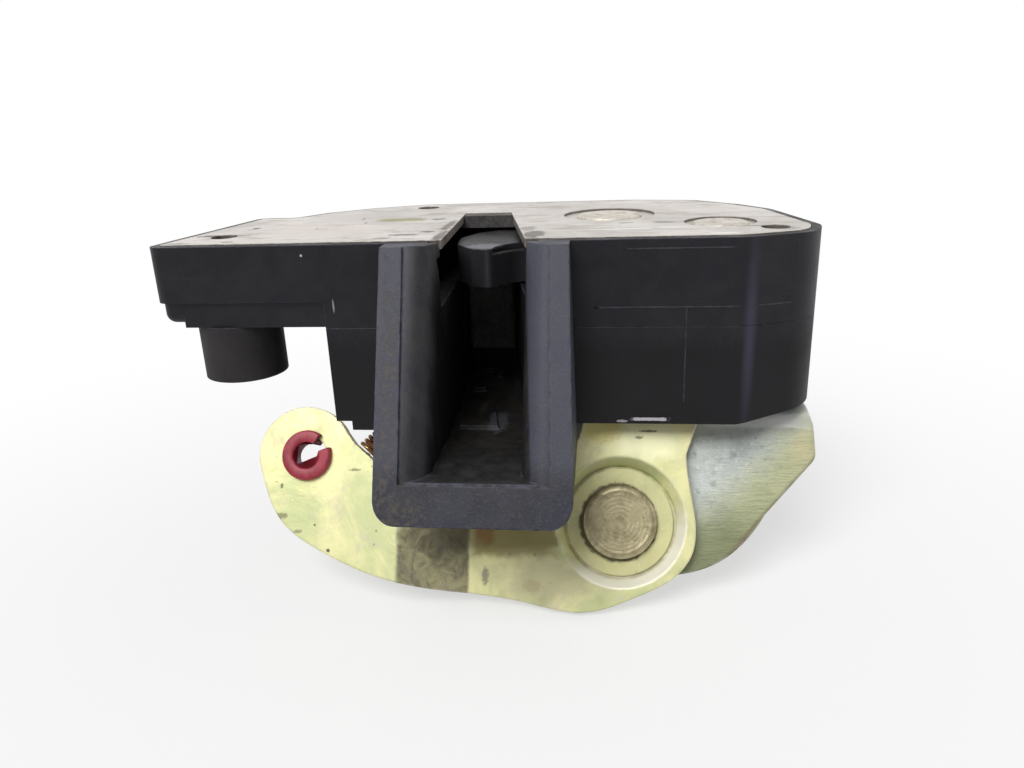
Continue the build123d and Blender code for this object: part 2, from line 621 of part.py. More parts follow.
pawl_sleeve_r = 5.0
arm_bottom_z, arm_t = -29.8, 4.0
arm_end_x, arm_end_y, arm_half = 40.7, 8.2, 1.6
with BuildPart() as pawl_arm:
    with BuildSketch(Plane.XY.offset(arm_bottom_z)):
        with Locations((pawl_x, pawl_y)):
            Circle(pawl_sleeve_r)
    extrude(amount=steel_bottom_z - arm_bottom_z)
    with BuildSketch(Plane.XY.offset(arm_bottom_z)):
        Polygon((pawl_x - pawl_sleeve_r, pawl_y), (arm_end_x - arm_half, arm_end_y),
                (arm_end_x + arm_half, arm_end_y), (arm_end_x + arm_half, pawl_y), align=None)
        with Locations((arm_end_x, arm_end_y)):
            Circle(arm_half)
    extrude(amount=arm_t)
    with Locations((pawl_x, pawl_y, (arm_bottom_z + steel_bottom_z) / 2)):
        Cylinder(pawl_stud_r + running_gap, 40, mode=Mode.SUBTRACT)
pawl_arm.part.label = "pawl_arm"
export_step(pawl_arm.part, "parts/pawl_arm.step")

with BuildPart() as pawl_stud:
    with BuildSketch(Plane(origin=(pawl_x, pawl_y, 0), x_dir=(1, 0, 0), z_dir=(0, -1, 0))):
        with BuildLine():
            Polyline((0, -0.05), (4.8, -0.05), (5.2, -recess_depth), (pawl_stud_r, -recess_depth),
                     (pawl_stud_r, plate_back_z), (4.3, plate_back_z), (3.8, plate_back_z - stud_tail_t),
                     (0, plate_back_z - stud_tail_t), close=True)
        make_face()
    revolve(axis=Axis((pawl_x, pawl_y, 0), (0, 0, 1)))
pawl_stud.part.label = "pawl_stud"
export_step(pawl_stud.part, "parts/pawl_stud.step")

pawl_spring_z, pawl_spring_r, pawl_wire_r = -24.5, 6.0, 0.5
pawl_spring = coil((pawl_x, pawl_y, pawl_spring_z), (0, 0, 1), pawl_spring_r, pawl_wire_r, 1.3, 5)
pawl_spring.label = "pawl_spring"
export_step(pawl_spring, "parts/pawl_spring.step")


# ---- back plate: steel, under the housing, bent down to carry the lever ------------------------------
bend_r, flange_rounding = 3.4, 3.0
back_plate_left = 12.8
back_plate_middle = back_plate_front - back_plate_t / 2
bend_up = (bottom_z - back_plate_t / 2 - lever_z0 - back_plate_middle * lean_sin) / lean_cos
bend_y = lever_y0 + bend_up * lean_sin - back_plate_middle * lean_cos
flange_foot = lever_plane(back_plate_middle).from_local_coords((0, -34, 0))

with BuildPart() as back_plate_shape:
    with BuildSketch(Plane.XY.offset(bottom_z + 1)):
        Polygon((back_plate_left, 0), (58.0, 0), (56.6, 14.0), (52.4, 33.0), (47.6, 41.0), (39.0, 50.0),
                (26.0, 53.0), (back_plate_left, 53.0), align=None)
    extrude(amount=-4.5)
    with BuildSketch(lever_plane(0)) as flange:
        with BuildLine():
            Polyline((30.0, -29.8), (20.0, -29.6), (back_plate_left, -22.0), (back_plate_left, 4.0),
                     (58.0, 4.0), (59.6, -1.4), (59.9, -7.6), (50.4, -18.2))
            Spline((50.4, -18.2), (46.7, -23.2), (42.1, -27.0), (37.6, -28.9), (30.0, -29.8))
        make_face()
        fillet(flange.vertices().sort_by(Axis.X)[-2:], flange_rounding)
    extrude(amount=-8)

with BuildPart() as back_plate:
    with BuildSketch(Plane.YZ.offset(back_plate_left)):
        with BuildLine():
            FilletPolyline((60, bottom_z - back_plate_t / 2), (bend_y, bottom_z - back_plate_t / 2),
                           (flange_foot.Y, flange_foot.Z), radius=bend_r)
        trace(line_width=back_plate_t)
    extrude(amount=50)
    add(back_plate_shape.part, mode=Mode.INTERSECT)
    with Locations(*[(x, y, bottom_z - back_plate_t / 2) for x, y in SCREWS[1:]]):
        Cylinder(screw_head_r + 0.6, 3 * back_plate_t, mode=Mode.SUBTRACT)
    with Locations((fork_x, fork_y, bottom_z)):
        Cylinder(fork_stud_r, 4 * back_plate_t, mode=Mode.SUBTRACT)
    with Locations((pawl_x, pawl_y, bottom_z)):
        Cylinder(pawl_stud_r, 4 * back_plate_t, mode=Mode.SUBTRACT)
    with BuildSketch(lever_plane(back_plate_front + 1)):
        with Locations((pivot_x, pivot_y)):
            Circle(rivet_r)
    extrude(amount=-4 * back_plate_t, mode=Mode.SUBTRACT)
back_plate.part.label = "back_plate"
export_step(back_plate.part, "parts/back_plate.step")


# ---- release lever: pressed steel, jogged, with a sunk seat round its rivet --------------------------
# Corner points of its arms, then the free curve round its pivot and along its foot to the lobe.
LEVER_TOP = [(-44.8, -12.5), (-30.5, -1.7), (-26.8, -6.4), (-22.0, -10.4), (-14.0, -13.4), (6.0, -13.0),
             (13.2, -9.6), (16.0, -4.6), (17.4, 0.4), (19.0, 4.0), (35.0, 4.0), (38.0, 2.6), (42.4, 2.6),
             (43.4, 4.2), (43.4, 7.6), (47.4, 7.6), (47.6, 3.0), (44.0, 0.6), (38.2, -1.0), (35.9, -7.5)]
LEVER_FOOT = [(35.9, -7.5), (36.9, -16.0), (36.6, -26.0), (33.5, -29.9), (27.3, -33.3), (17.4, -36.6),
              (5.4, -35.0), (-9.7, -33.4), (-25.2, -30.0), (-33.0, -26.6), (-40.0, -22.0), (-44.0, -15.3),
              (-44.8, -12.5)]
lug_x, lug_y, lug_r, lug_length = -26.5, -8.6, 1.0, 4.4

with BuildPart() as release_lever:
    with BuildSketch(lever_plane(jog_out)):
        with BuildLine():
            Polyline(*LEVER_TOP)
            Spline(*LEVER_FOOT)
        make_face()
        with Locations((lobe_x, lobe_y)):
            Circle(lobe_r)
    extrude(amount=-jog_out - lever_t)
    side_view = Plane(origin=(0, lever_y0, lever_z0), x_dir=(1, 0, 0), z_dir=upslope)
    with BuildSketch(side_view):
        Polygon((-60, -jog_out), (jog_start_x, -jog_out), (jog_end_x, 0), (60, 0), (60, lever_t),
                (jog_end_x - 0.4, lever_t), (jog_start_x - 0.4, lever_t - jog_out),
                (-60, lever_t - jog_out), align=None)
    extrude(amount=60, both=True, mode=Mode.INTERSECT)
    with Locations(lever_plane(-lever_t - dish_depth / 2) * Location((pivot_x, pivot_y, 0))):
        Cone(dish_floor_r + 0.6, dish_r + 0.6, dish_depth)
    with Locations(lever_plane(-dish_depth / 2) * Location((pivot_x, pivot_y, 0))):
        Cone(dish_floor_r, dish_r, dish_depth, mode=Mode.SUBTRACT)
    with BuildSketch(lever_plane(jog_out)):
        with Locations((pivot_x, pivot_y)):
            Circle(rivet_r + running_gap)
        with Locations((clip_x, clip_y)):
            Circle(clip_hole_r)
    extrude(amount=-12, mode=Mode.SUBTRACT)
    with BuildSketch(lever_plane(jog_out - lever_t)):
        with Locations((lug_x, lug_y)):
            Circle(lug_r)
    extrude(amount=-lug_length)
release_lever.part.label = "release_lever"
export_step(release_lever.part, "parts/release_lever.step")

with BuildPart() as pivot_washer:
    with BuildSketch(lever_plane(-dish_depth)):
        with Locations((pivot_x, pivot_y)):
            Circle(washer_r)
            Circle(rivet_r + running_gap, mode=Mode.SUBTRACT)
    extrude(amount=washer_t)
pivot_washer.part.label = "pivot_washer"
export_step(pivot_washer.part, "parts/pivot_washer.step")

rivet_base = washer_t - dish_depth
with BuildPart() as lever_rivet:
    with BuildSketch(lever_plane(rivet_base)):
        with Locations((pivot_x, pivot_y)):
            Circle(rivet_head_r)
    extrude(amount=rivet_head_t)
    fillet(lever_rivet.faces().sort_by(Axis.Y)[0].edges(), 0.6)
    with BuildSketch(lever_plane(rivet_base)):
        with Locations((pivot_x, pivot_y)):
            Circle(rivet_r)
    extrude(amount=-(rivet_base - back_plate_front + back_plate_t))
    with BuildSketch(lever_plane(back_plate_front - back_plate_t)):
        with Locations((pivot_x, pivot_y)):
            Circle(rivet_head_r - 0.4)
    extrude(amount=-1.5)
lever_rivet.part.label = "lever_rivet"
export_step(lever_rivet.part, "parts/lever_rivet.step")

clip_front = jog_out
clip_angle = 38.0
with BuildPart() as rod_clip:
    with BuildSketch(lever_plane(clip_front)):
        with Locations((clip_x, clip_y)):
            Circle(clip_flange_r)
    extrude(amount=clip_flange_t)
    with BuildSketch(lever_plane(clip_front)):
        with Locations((clip_x, clip_y)):
            Circle(clip_hole_r)
    extrude(amount=-lever_t)
    with BuildSketch(lever_plane(clip_front - lever_t)):
        with Locations((clip_x, clip_y)):
            Circle(clip_flange_r - 0.4)
    extrude(amount=-1.0)
    with BuildSketch(lever_plane(clip_front + 3)):
        with Locations((clip_x, clip_y)):
            Circle(clip_bore_r)
        with Locations(Location((clip_x, clip_y, 0), (0, 0, clip_angle))):
            Rectangle(20, clip_split, align=(Align.MIN, Align.CENTER))
    extrude(amount=-10, mode=Mode.SUBTRACT)
rod_clip.part.label = "rod_clip"
export_step(rod_clip.part, "parts/rod_clip.step")

# Extension spring between the lever's lug and the peg under the housing.
lug_end = lever_plane(jog_out - lever_t - lug_length + 1.2).from_local_coords((lug_x, lug_y, 0))
peg_end = Vector(peg_x, peg_y, bottom_z - peg_length + 1.2)
spring_line = (peg_end - lug_end).normalized()
spring_start = lug_end + spring_line * (lug_r + 0.5)
spring_span = (peg_end - lug_end).length - lug_r - peg_r - 1.0
spring_turns = 8
lever_spring_r, lever_wire_r = 2.2, 0.4
lever_spring = coil(tuple(spring_start), tuple(spring_line), lever_spring_r, lever_wire_r,
                    spring_span / spring_turns, spring_turns)
lever_spring.label = "lever_spring"
export_step(lever_spring, "parts/lever_spring.step")


# ---- motor: flat can with an end cap, its shaft carries the worm --------------------------------------
def motor_outline(shrink=0.0):
    with BuildSketch() as section:
        RectangleRounded(motor_width - shrink, motor_height - shrink, 3.4)
    return section.sketch


def along_y(y):
    """A plane square to the motor's shaft, x to the right and y up."""
    return Plane(origin=(motor_x, y, motor_z), x_dir=(1, 0, 0), z_dir=(0, -1, 0))


motor_back_y = motor_front_y + motor_length
with BuildPart() as motor_case:
    with BuildSketch(along_y(motor_back_y)):
        add(motor_outline())
    extrude(amount=motor_length - motor_cap_length)
    with BuildSketch(along_y(motor_back_y)):
        Circle(3.0)
    extrude(amount=-1.2)
    with BuildSketch(along_y(motor_back_y + 2)):
        Circle(shaft_r + running_gap)
    extrude(amount=motor_length + 3, mode=Mode.SUBTRACT)
motor_case.part.label = "motor_case"
export_step(motor_case.part, "parts/motor_case.step")

with BuildPart() as motor_cap:
    with BuildSketch(along_y(motor_front_y + motor_cap_length)):
        add(motor_outline(0.6))
        Circle(shaft_r + running_gap, mode=Mode.SUBTRACT)
    extrude(amount=motor_cap_length)
motor_cap.part.label = "motor_cap"
export_step(motor_cap.part, "parts/motor_cap.step")

shaft_end_y = rest_y + 1.6
worm_start_y = worm_y - worm_length / 2
with BuildPart() as motor_shaft:
    with BuildSketch(along_y(shaft_end_y)):
        Circle(shaft_r)
    extrude(amount=shaft_end_y - motor_front_y - 0.6)
motor_shaft.part.label = "motor_shaft"
export_step(motor_shaft.part, "parts/motor_shaft.step")

worm_root_r = worm_r - tooth_height - 0.1
thread_inset = worm_length / 2 - 1.75 * worm_pitch    # puts a gap of the wheel on the thread
with BuildPart() as worm:
    with BuildSketch(along_y(worm_start_y + worm_length)):
        Circle(worm_root_r)
    extrude(amount=worm_length)
    with BuildLine():
        thread_path = Helix(pitch=worm_pitch, height=worm_length - 2 * thread_inset, radius=worm_root_r - 0.1,
                            center=(motor_x, worm_start_y + thread_inset, motor_z), direction=(0, 1, 0))
    thread_start = thread_path @ 0
    outward = Vector(thread_start.X - motor_x, 0, thread_start.Z - motor_z).normalized()
    with BuildSketch(Plane(origin=thread_start, x_dir=outward, z_dir=thread_path % 0)):
        Polygon((0, -0.5), (2 * tooth_height + 0.1, -0.22), (2 * tooth_height + 0.1, 0.22), (0, 0.5),
                align=None)
    sweep(path=thread_path, is_frenet=True)
    with BuildSketch(along_y(worm_start_y + worm_length + 1)):
        Circle(shaft_r)
    extrude(amount=worm_length + 2, mode=Mode.SUBTRACT)
worm.part.label = "worm"
export_step(worm.part, "parts/worm.step")


# ---- worm wheel with its pinion, on a fixed axle -------------------------------------------------------
def gear_outline(teeth, module, height, thin):
    """Straight-sided teeth round a root circle; thin is the gap left on each side of a tooth."""
    pitch_r = teeth * module / 2
    step = 360 / teeth
    root_r = pitch_r - height - 0.15
    tip_r = pitch_r + height
    with BuildSketch() as gear:
        Circle(root_r)
        with PolarLocations(0, teeth):
            half_root = (pi * module / 4 - thin + 0.36 * height) / pitch_r
            half_tip = (pi * module / 4 - thin - 0.36 * height) / pitch_r
            Polygon(polar(0, 0, degrees(-half_root), root_r - 0.3), polar(0, 0, degrees(-half_tip), tip_r),
                    polar(0, 0, degrees(half_tip), tip_r), polar(0, 0, degrees(half_root), root_r - 0.3),
                    align=None)
    return gear.sketch


def wheel_part(turn):
    with BuildPart() as wheel:
        with BuildSketch(Plane(origin=(wheel_x, wheel_y, wheel_z), x_dir=(cos(radians(turn)),
                               sin(radians(turn)), 0), z_dir=(0, 0, 1))):
            add(gear_outline(wheel_teeth, tooth_module, tooth_height, 0.2))
        extrude(amount=wheel_t)
        with BuildSketch(Plane.XY.offset(pinion_z).shift_origin((wheel_x, wheel_y, pinion_z))):
            add(gear_outline(pinion_teeth, pinion_module, 0.9 * pinion_module, 0.12))
        extrude(amount=pinion_t)
        with Locations((wheel_x, wheel_y, wheel_z)):
            Cylinder(axle_r + running_gap, 30, mode=Mode.SUBTRACT)
    return wheel.part


wheel_turn = 180 / wheel_teeth
worm_wheel = wheel_part(wheel_turn)
worm_wheel.label = "worm_wheel"
export_step(worm_wheel, "parts/worm_wheel.step")

with BuildPart() as wheel_axle:
    with Locations((wheel_x, wheel_y, (-plate_t - 0.05 + wheel_z - 1.8) / 2)):
        Cylinder(axle_r - 0.01, -plate_t - 0.05 - wheel_z + 1.8)
wheel_axle.part.label = "wheel_axle"
export_step(wheel_axle.part, "parts/wheel_axle.step")


# ---- lock plunger: toothed bar with an eye outside the housing ------------------------------------------
rack_pitch = pi * pinion_module
rack_x = wheel_x - pinion_r            # pitch line of its teeth
bar_left = rack_x - plunger_back
eye_y = 52.0
eye_r, eye_hole_r = 3.2, 1.6
rack_teeth = 7

with BuildPart() as lock_plunger:
    with BuildSketch(Plane.XY.offset(plunger_z - plunger_half_z)):
        rack_root = rack_x - 1.05 * pinion_module
        with Locations(((bar_left + rack_root) / 2, (wheel_y - 11.5 + eye_y) / 2)):
            Rectangle(rack_root - bar_left, eye_y - wheel_y + 11.5)
        for i in range(rack_teeth):
            tooth_y = wheel_y + (i - 4.5) * rack_pitch + rack_pitch
            Polygon((rack_root - 0.2, tooth_y - 0.98), (rack_x + 0.85 * pinion_module, tooth_y - 0.34),
                    (rack_x + 0.85 * pinion_module, tooth_y + 0.34), (rack_root - 0.2, tooth_y + 0.98),
                    align=None)
        with Locations(((bar_left + rack_root) / 2, eye_y)):
            Circle(eye_r)
            Circle(eye_hole_r, mode=Mode.SUBTRACT)
    extrude(amount=2 * plunger_half_z)
lock_plunger.part.label = "lock_plunger"
export_step(lock_plunger.part, "parts/lock_plunger.step")


# ---- connector and its conductors ----------------------------------------------------------------------
socket_depth = 9.6
with BuildPart() as connector_socket:
    with Locations((socket_x, socket_y, (wing_bottom_z + socket_bottom_z) / 2)):
        Cylinder(socket_r, wing_bottom_z - socket_bottom_z)
    with Locations((socket_x, socket_y, (wing_floor_z + wing_bottom_z) / 2)):
        Cylinder(neck_r, wing_floor_z - wing_bottom_z)
    with Locations((socket_x, socket_y, socket_bottom_z + socket_depth / 2)):
        Cylinder(socket_inner_r, socket_depth, mode=Mode.SUBTRACT)
    with Locations(*[(socket_x, socket_y + side * blade_spread, wing_bottom_z) for side in (-1, 1)]):
        Box(blade_width, blade_t, 20, mode=Mode.SUBTRACT)
connector_socket.part.label = "connector_socket"
export_step(connector_socket.part, "parts/connector_socket.step")

strip_t = 0.5
strip_top = wing_floor_z + strip_t
motor_left_x = motor_x - motor_width / 2 + 0.3
with BuildPart() as contact_strips:
    for side in (-1, 1):
        y = socket_y + side * blade_spread
        end_y = motor_front_y + motor_cap_length / 2 + side * 0.9
        with Locations((socket_x, y, (strip_top + socket_bottom_z + 3.0) / 2)):
            Box(blade_width, blade_t, strip_top - socket_bottom_z - 3.0)
        with BuildSketch(Plane.XY.offset(wing_floor_z)):
            Polygon((socket_x - blade_width / 2, y - 0.7), (socket_x + 10, y - 0.7),
                    (motor_left_x - 1.0, end_y - 0.55), (motor_left_x, end_y - 0.55),
                    (motor_left_x, end_y + 0.55), (motor_left_x - 1.0, end_y + 0.55),
                    (socket_x + 10, y + 0.7), (socket_x - blade_width / 2, y + 0.7), align=None)
        extrude(amount=strip_t)
contact_strips.part.label = "contact_strips"
export_step(contact_strips.part, "parts/contact_strips.step")


# ---- screws that hold the shells together ---------------------------------------------------------------
screw_top_z = web_bottom_z - 1.6
screw_head_z = bottom_z + back_plate_t + 0.2
with BuildPart() as cover_screws:
    with BuildSketch(Plane.XY.offset(screw_head_z)):
        with Locations(*SCREWS):
            Circle(screw_r - 0.01)
    extrude(amount=screw_top_z - screw_head_z)
    with BuildSketch(Plane.XY.offset(screw_head_z)):
        with Locations(*SCREWS):
            Circle(screw_head_r)
            RectangleRounded(2.6, 0.7, 0.2, mode=Mode.SUBTRACT)
    extrude(amount=-screw_head_t)
cover_screws.part.label = "cover_screws"
export_step(cover_screws.part, "parts/cover_screws.step")
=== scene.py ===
"""Door latch actuator: the looks of each piece, with the studio and the camera."""
import bmesh
import bpy
import math
import numpy as np
from mathutils import Matrix, Vector


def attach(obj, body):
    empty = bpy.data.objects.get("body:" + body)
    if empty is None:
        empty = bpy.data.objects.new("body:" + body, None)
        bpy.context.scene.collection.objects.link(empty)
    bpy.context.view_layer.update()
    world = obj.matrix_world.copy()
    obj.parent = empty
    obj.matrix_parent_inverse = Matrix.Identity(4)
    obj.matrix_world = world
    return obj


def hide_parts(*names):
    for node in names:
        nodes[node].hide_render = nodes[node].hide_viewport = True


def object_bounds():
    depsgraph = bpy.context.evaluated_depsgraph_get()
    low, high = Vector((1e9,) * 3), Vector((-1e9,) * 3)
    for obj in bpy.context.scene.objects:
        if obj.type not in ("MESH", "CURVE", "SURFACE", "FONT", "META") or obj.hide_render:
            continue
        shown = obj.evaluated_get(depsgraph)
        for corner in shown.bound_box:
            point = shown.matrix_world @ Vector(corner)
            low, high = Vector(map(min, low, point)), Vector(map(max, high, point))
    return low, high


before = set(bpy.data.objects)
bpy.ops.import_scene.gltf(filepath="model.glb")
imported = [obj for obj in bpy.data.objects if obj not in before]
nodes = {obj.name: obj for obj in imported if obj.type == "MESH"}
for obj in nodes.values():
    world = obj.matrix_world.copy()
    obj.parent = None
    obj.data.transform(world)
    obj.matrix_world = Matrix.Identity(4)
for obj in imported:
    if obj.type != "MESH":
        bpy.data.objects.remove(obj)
cad_box = [list(corner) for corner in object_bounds()]
scene = bpy.context.scene

# ---- camera -------------------------------------------------------------------------------------------
# A short lens close to the throat, a little above it and to its right. The eye's place is in metres, and
# the picture's own directions are unit vectors.
eye = (0.02196, -0.13581, 0.02189)
right, down, forward = (Vector((0.9925, 0.1167, -0.0378)), Vector((0.0031, -0.3320, -0.9433)),
                        Vector((-0.1226, 0.9361, -0.3298)))
camera = bpy.data.objects.new("camera", bpy.data.cameras.new("camera"))
camera.data.sensor_width = 36.0
camera.data.lens = 28.125
camera.data.clip_start = 0.01
camera.matrix_world = (Matrix.Translation(eye)
                       @ Matrix((right, -down, -forward)).transposed().to_4x4())
scene.collection.objects.link(camera)
scene.camera = camera
scene.view_settings.view_transform = "Standard"


# ---- studio -------------------------------------------------------------------------------------------
# A plain pale floor under the latch that keeps its shadow and turns white away from it, a white room that
# is dimmer towards the camera, one broad soft light from above the front and a weak one beside it.
def connect(tree, node, **inputs):
    """Fills a node's inputs, by name or as i0, i1 by number. A socket is linked, any other value is set."""
    for key, value in inputs.items():
        socket = node.inputs[int(key[1:])] if key[1:].isdigit() else node.inputs[key.replace("_", " ")]
        if isinstance(value, bpy.types.NodeSocket):
            tree.links.new(value, socket)
        else:
            socket.default_value = value
    return node


def wire(tree, kind, settings=None, **inputs):
    """One new shader node with its settings and inputs."""
    made = tree.nodes.new("ShaderNode" + kind)
    for key, value in (settings or {}).items():
        setattr(made, key, value)
    return connect(tree, made, **inputs)


def sums(tree, operation, *values, clamp=False):
    """The result of one Math node."""
    return wire(tree, "Math", {"operation": operation, "use_clamp": clamp},
                **{f"i{i}": v for i, v in enumerate(values)}).outputs[0]


def vectors(tree, operation, *values):
    """The result of one Vector Math node: a number for a length or a dot product, or else a vector."""
    made = wire(tree, "VectorMath", {"operation": operation}, **{f"i{i}": v for i, v in enumerate(values)})
    return made.outputs["Value" if operation in ("LENGTH", "DOT_PRODUCT") else "Vector"]


def ramp(tree, value, low, high, to_low=0.0, to_high=1.0):
    """A value carried smoothly from low..high to to_low..to_high."""
    return wire(tree, "MapRange", {"interpolation_type": "SMOOTHSTEP"}, Value=value, From_Min=low,
                From_Max=high, To_Min=to_low, To_Max=to_high).outputs["Result"]


floor_z, half_side = cad_box[0][2], 3.0
sheet = bpy.data.meshes.new("floor")
sheet.from_pydata([(-half_side, -half_side, floor_z), (half_side, -half_side, floor_z),
                   (half_side, half_side, floor_z), (-half_side, half_side, floor_z)], [], [(0, 1, 2, 3)])
floor = bpy.data.objects.new("floor", sheet)
scene.collection.objects.link(floor)
floor_finish = bpy.data.materials.new("pale_floor")
floor_finish.use_nodes = True
tree = floor_finish.node_tree
floor_shader = connect(tree, tree.nodes["Principled BSDF"], Base_Color=(0.95, 0.95, 0.955, 1),
                       Roughness=0.8, Specular_IOR_Level=0.2)
floor_white = wire(tree, "Emission", Strength=1.0)
away = vectors(tree, "LENGTH", wire(tree, "TexCoord").outputs["Object"])
whiter = sums(tree, "MULTIPLY", ramp(tree, away, 0.06, 0.24, 0.55, 1.0),
              wire(tree, "LightPath").outputs["Is Camera Ray"])
floor_mix = wire(tree, "MixShader", i0=whiter, i1=floor_shader.outputs[0], i2=floor_white.outputs[0])
connect(tree, tree.nodes["Material Output"], Surface=floor_mix.outputs[0])
floor.data.materials.append(floor_finish)

room = bpy.data.worlds.new("white_room")
scene.world = room
room.use_nodes = True
tree = room.node_tree
looking = wire(tree, "SeparateXYZ", Vector=wire(tree, "TexCoord").outputs["Generated"])
room_lights = connect(tree, tree.nodes["Background"], Color=(1, 1, 1, 1), Strength=0.30)
room_mirrored = wire(tree, "Background", Color=(1, 1, 1, 1),
                     Strength=ramp(tree, looking.outputs["Y"], -0.95, -0.05, 0.12, 1.0))
room_seen = wire(tree, "Background", Color=(1, 1, 1, 1), Strength=1.0)
ray = wire(tree, "LightPath").outputs
mirrored = sums(tree, "MAXIMUM", ray["Is Glossy Ray"], ray["Is Transmission Ray"])
unseen = wire(tree, "MixShader", i0=mirrored, i1=room_lights.outputs[0], i2=room_mirrored.outputs[0])
room_mix = wire(tree, "MixShader", i0=ray["Is Camera Ray"], i1=unseen.outputs[0], i2=room_seen.outputs[0])
connect(tree, tree.nodes["World Output"], Surface=room_mix.outputs[0])

for lamp_name, come_from, softness, strength in (("broad_light", (-0.26, -0.60, 0.75), 0.55, 2.2),
                                                 ("side_light", (0.95, 0.15, 0.28), 0.8, 0.35)):
    lamp = bpy.data.objects.new(lamp_name, bpy.data.lights.new(lamp_name, "SUN"))
    lamp.data.angle = softness
    lamp.data.energy = strength
    lamp.rotation_euler = Vector(come_from).to_track_quat("Z", "Y").to_euler()
    scene.collection.objects.link(lamp)


# ---- housing shells -----------------------------------------------------------------------------------
# Two near-black mouldings with a satin, finely grained skin, screwed together along a level joint. Their
# edges are rubbed, dust lies on them, and grime sits where they meet other pieces.
def tint(code):
    """A linear colour from six hexadecimal digits."""
    parts = [int(code[i:i + 2], 16) / 255 for i in (0, 2, 4)]
    return tuple(v / 12.92 if v <= 0.04045 else ((v + 0.055) / 1.055) ** 2.4 for v in parts) + (1.0,)


def blend(tree, mask, below, above):
    """Two colours laid over each other by a mask."""
    return wire(tree, "Mix", {"data_type": "RGBA"}, i0=mask, i6=below, i7=above).outputs[2]


def lay(tree, base, mask, strength, colour):
    """A colour laid over a base by a mask at part strength."""
    return blend(tree, sums(tree, "MULTIPLY", mask, strength), base, colour)


def speckle(tree, position, scale, detail=3.0, rough=0.55, bend=0.0):
    """Noise between 0 and 1 at a scale given in cells to the metre."""
    return wire(tree, "TexNoise", Vector=position, Scale=scale, Detail=detail, Roughness=rough,
                Distortion=bend).outputs["Fac"]


def effect(name, inputs, outputs):
    """A new shader node group with named inputs and outputs; returns its tree and its two ends."""
    tree = bpy.data.node_groups.new(name, "ShaderNodeTree")
    for label, kind, value in inputs:
        socket = tree.interface.new_socket(label, in_out="INPUT", socket_type="NodeSocket" + kind)
        socket.default_value = value
    for label, kind in outputs:
        tree.interface.new_socket(label, in_out="OUTPUT", socket_type="NodeSocket" + kind)
    return tree, tree.nodes.new("NodeGroupInput").outputs, tree.nodes.new("NodeGroupOutput").inputs


def use(tree, group, **inputs):
    """One use of a node group, with its own values; returns its outputs."""
    return wire(tree, "Group", {"node_tree": group}, **inputs).outputs


# Rubbed edges: where a rounded copy of the normal leaves the flat one, broken up by noise.
rubbed_edge, given, out = effect("rubbed_edge",
                                 [("Position", "Vector", (0, 0, 0)), ("Radius", "Float", 0.0004),
                                  ("Breaks", "Float", 900.0)],
                                 [("Wear", "Float"), ("Normal", "Vector")])
rounded = wire(rubbed_edge, "Bevel", {"samples": 4}, Radius=given["Radius"]).outputs["Normal"]
agree = vectors(rubbed_edge, "DOT_PRODUCT", rounded, wire(rubbed_edge, "NewGeometry").outputs["Normal"])
edge = ramp(rubbed_edge, agree, 0.995, 0.90)
breaks = ramp(rubbed_edge, speckle(rubbed_edge, given["Position"], given["Breaks"]), 0.38, 0.62)
rubbed_edge.links.new(sums(rubbed_edge, "MULTIPLY", edge, breaks), out["Wear"])
rubbed_edge.links.new(rounded, out["Normal"])

# Dirt: dust thickest on faces that look up, grime in corners that light can't reach.
settled_dirt, given, out = effect("settled_dirt",
                                  [("Position", "Vector", (0, 0, 0)), ("Scale", "Float", 120.0),
                                   ("Cover", "Float", 0.4), ("Corner", "Float", 0.003)],
                                  [("Dust", "Float"), ("Grime", "Float")])
facing = wire(settled_dirt, "SeparateXYZ", Vector=wire(settled_dirt, "NewGeometry").outputs["Normal"])
upward = ramp(settled_dirt, facing.outputs["Z"], -0.2, 0.9, 0.35, 1.0)
drift = speckle(settled_dirt, given["Position"], given["Scale"], 6.0, 0.65, 0.6)
fine = speckle(settled_dirt, given["Position"], 2600.0, 2.0)
heap = sums(settled_dirt, "ADD", sums(settled_dirt, "MULTIPLY", drift, 0.75),
            sums(settled_dirt, "MULTIPLY", fine, 0.25))
level = sums(settled_dirt, "MULTIPLY", sums(settled_dirt, "SUBTRACT", 1.0, given["Cover"]), 0.75)
lying = ramp(settled_dirt, sums(settled_dirt, "SUBTRACT", heap, level), -0.12, 0.22)
shade = wire(settled_dirt, "AmbientOcclusion", {"samples": 4}, Distance=given["Corner"]).outputs["AO"]
corner = ramp(settled_dirt, shade, 0.75, 0.25)
settled_dirt.links.new(sums(settled_dirt, "MULTIPLY", lying, upward), out["Dust"])
settled_dirt.links.new(sums(settled_dirt, "MULTIPLY", corner, ramp(settled_dirt, drift, 0.3, 0.6)),
                       out["Grime"])

# Scratches: thin parts of long cells, shown only here and there.
scratched, given, out = effect("scratched",
                               [("Position", "Vector", (0, 0, 0)), ("Along", "Vector", (1, 1, 1)),
                                ("Scale", "Float", 260.0), ("Share", "Float", 0.3)],
                               [("Mask", "Float")])
drawn = vectors(scratched, "MULTIPLY", given["Position"], given["Along"])
cell = wire(scratched, "TexVoronoi", {"feature": "DISTANCE_TO_EDGE"}, Vector=drawn, Scale=given["Scale"],
            Randomness=1.0).outputs["Distance"]
line = ramp(scratched, cell, 0.014, 0.003)
shown = ramp(scratched, sums(scratched, "ADD", speckle(scratched, drawn, 140.0, 4.0), given["Share"]),
             0.82, 0.95)
scratched.links.new(sums(scratched, "MULTIPLY", line, shown), out["Mask"])

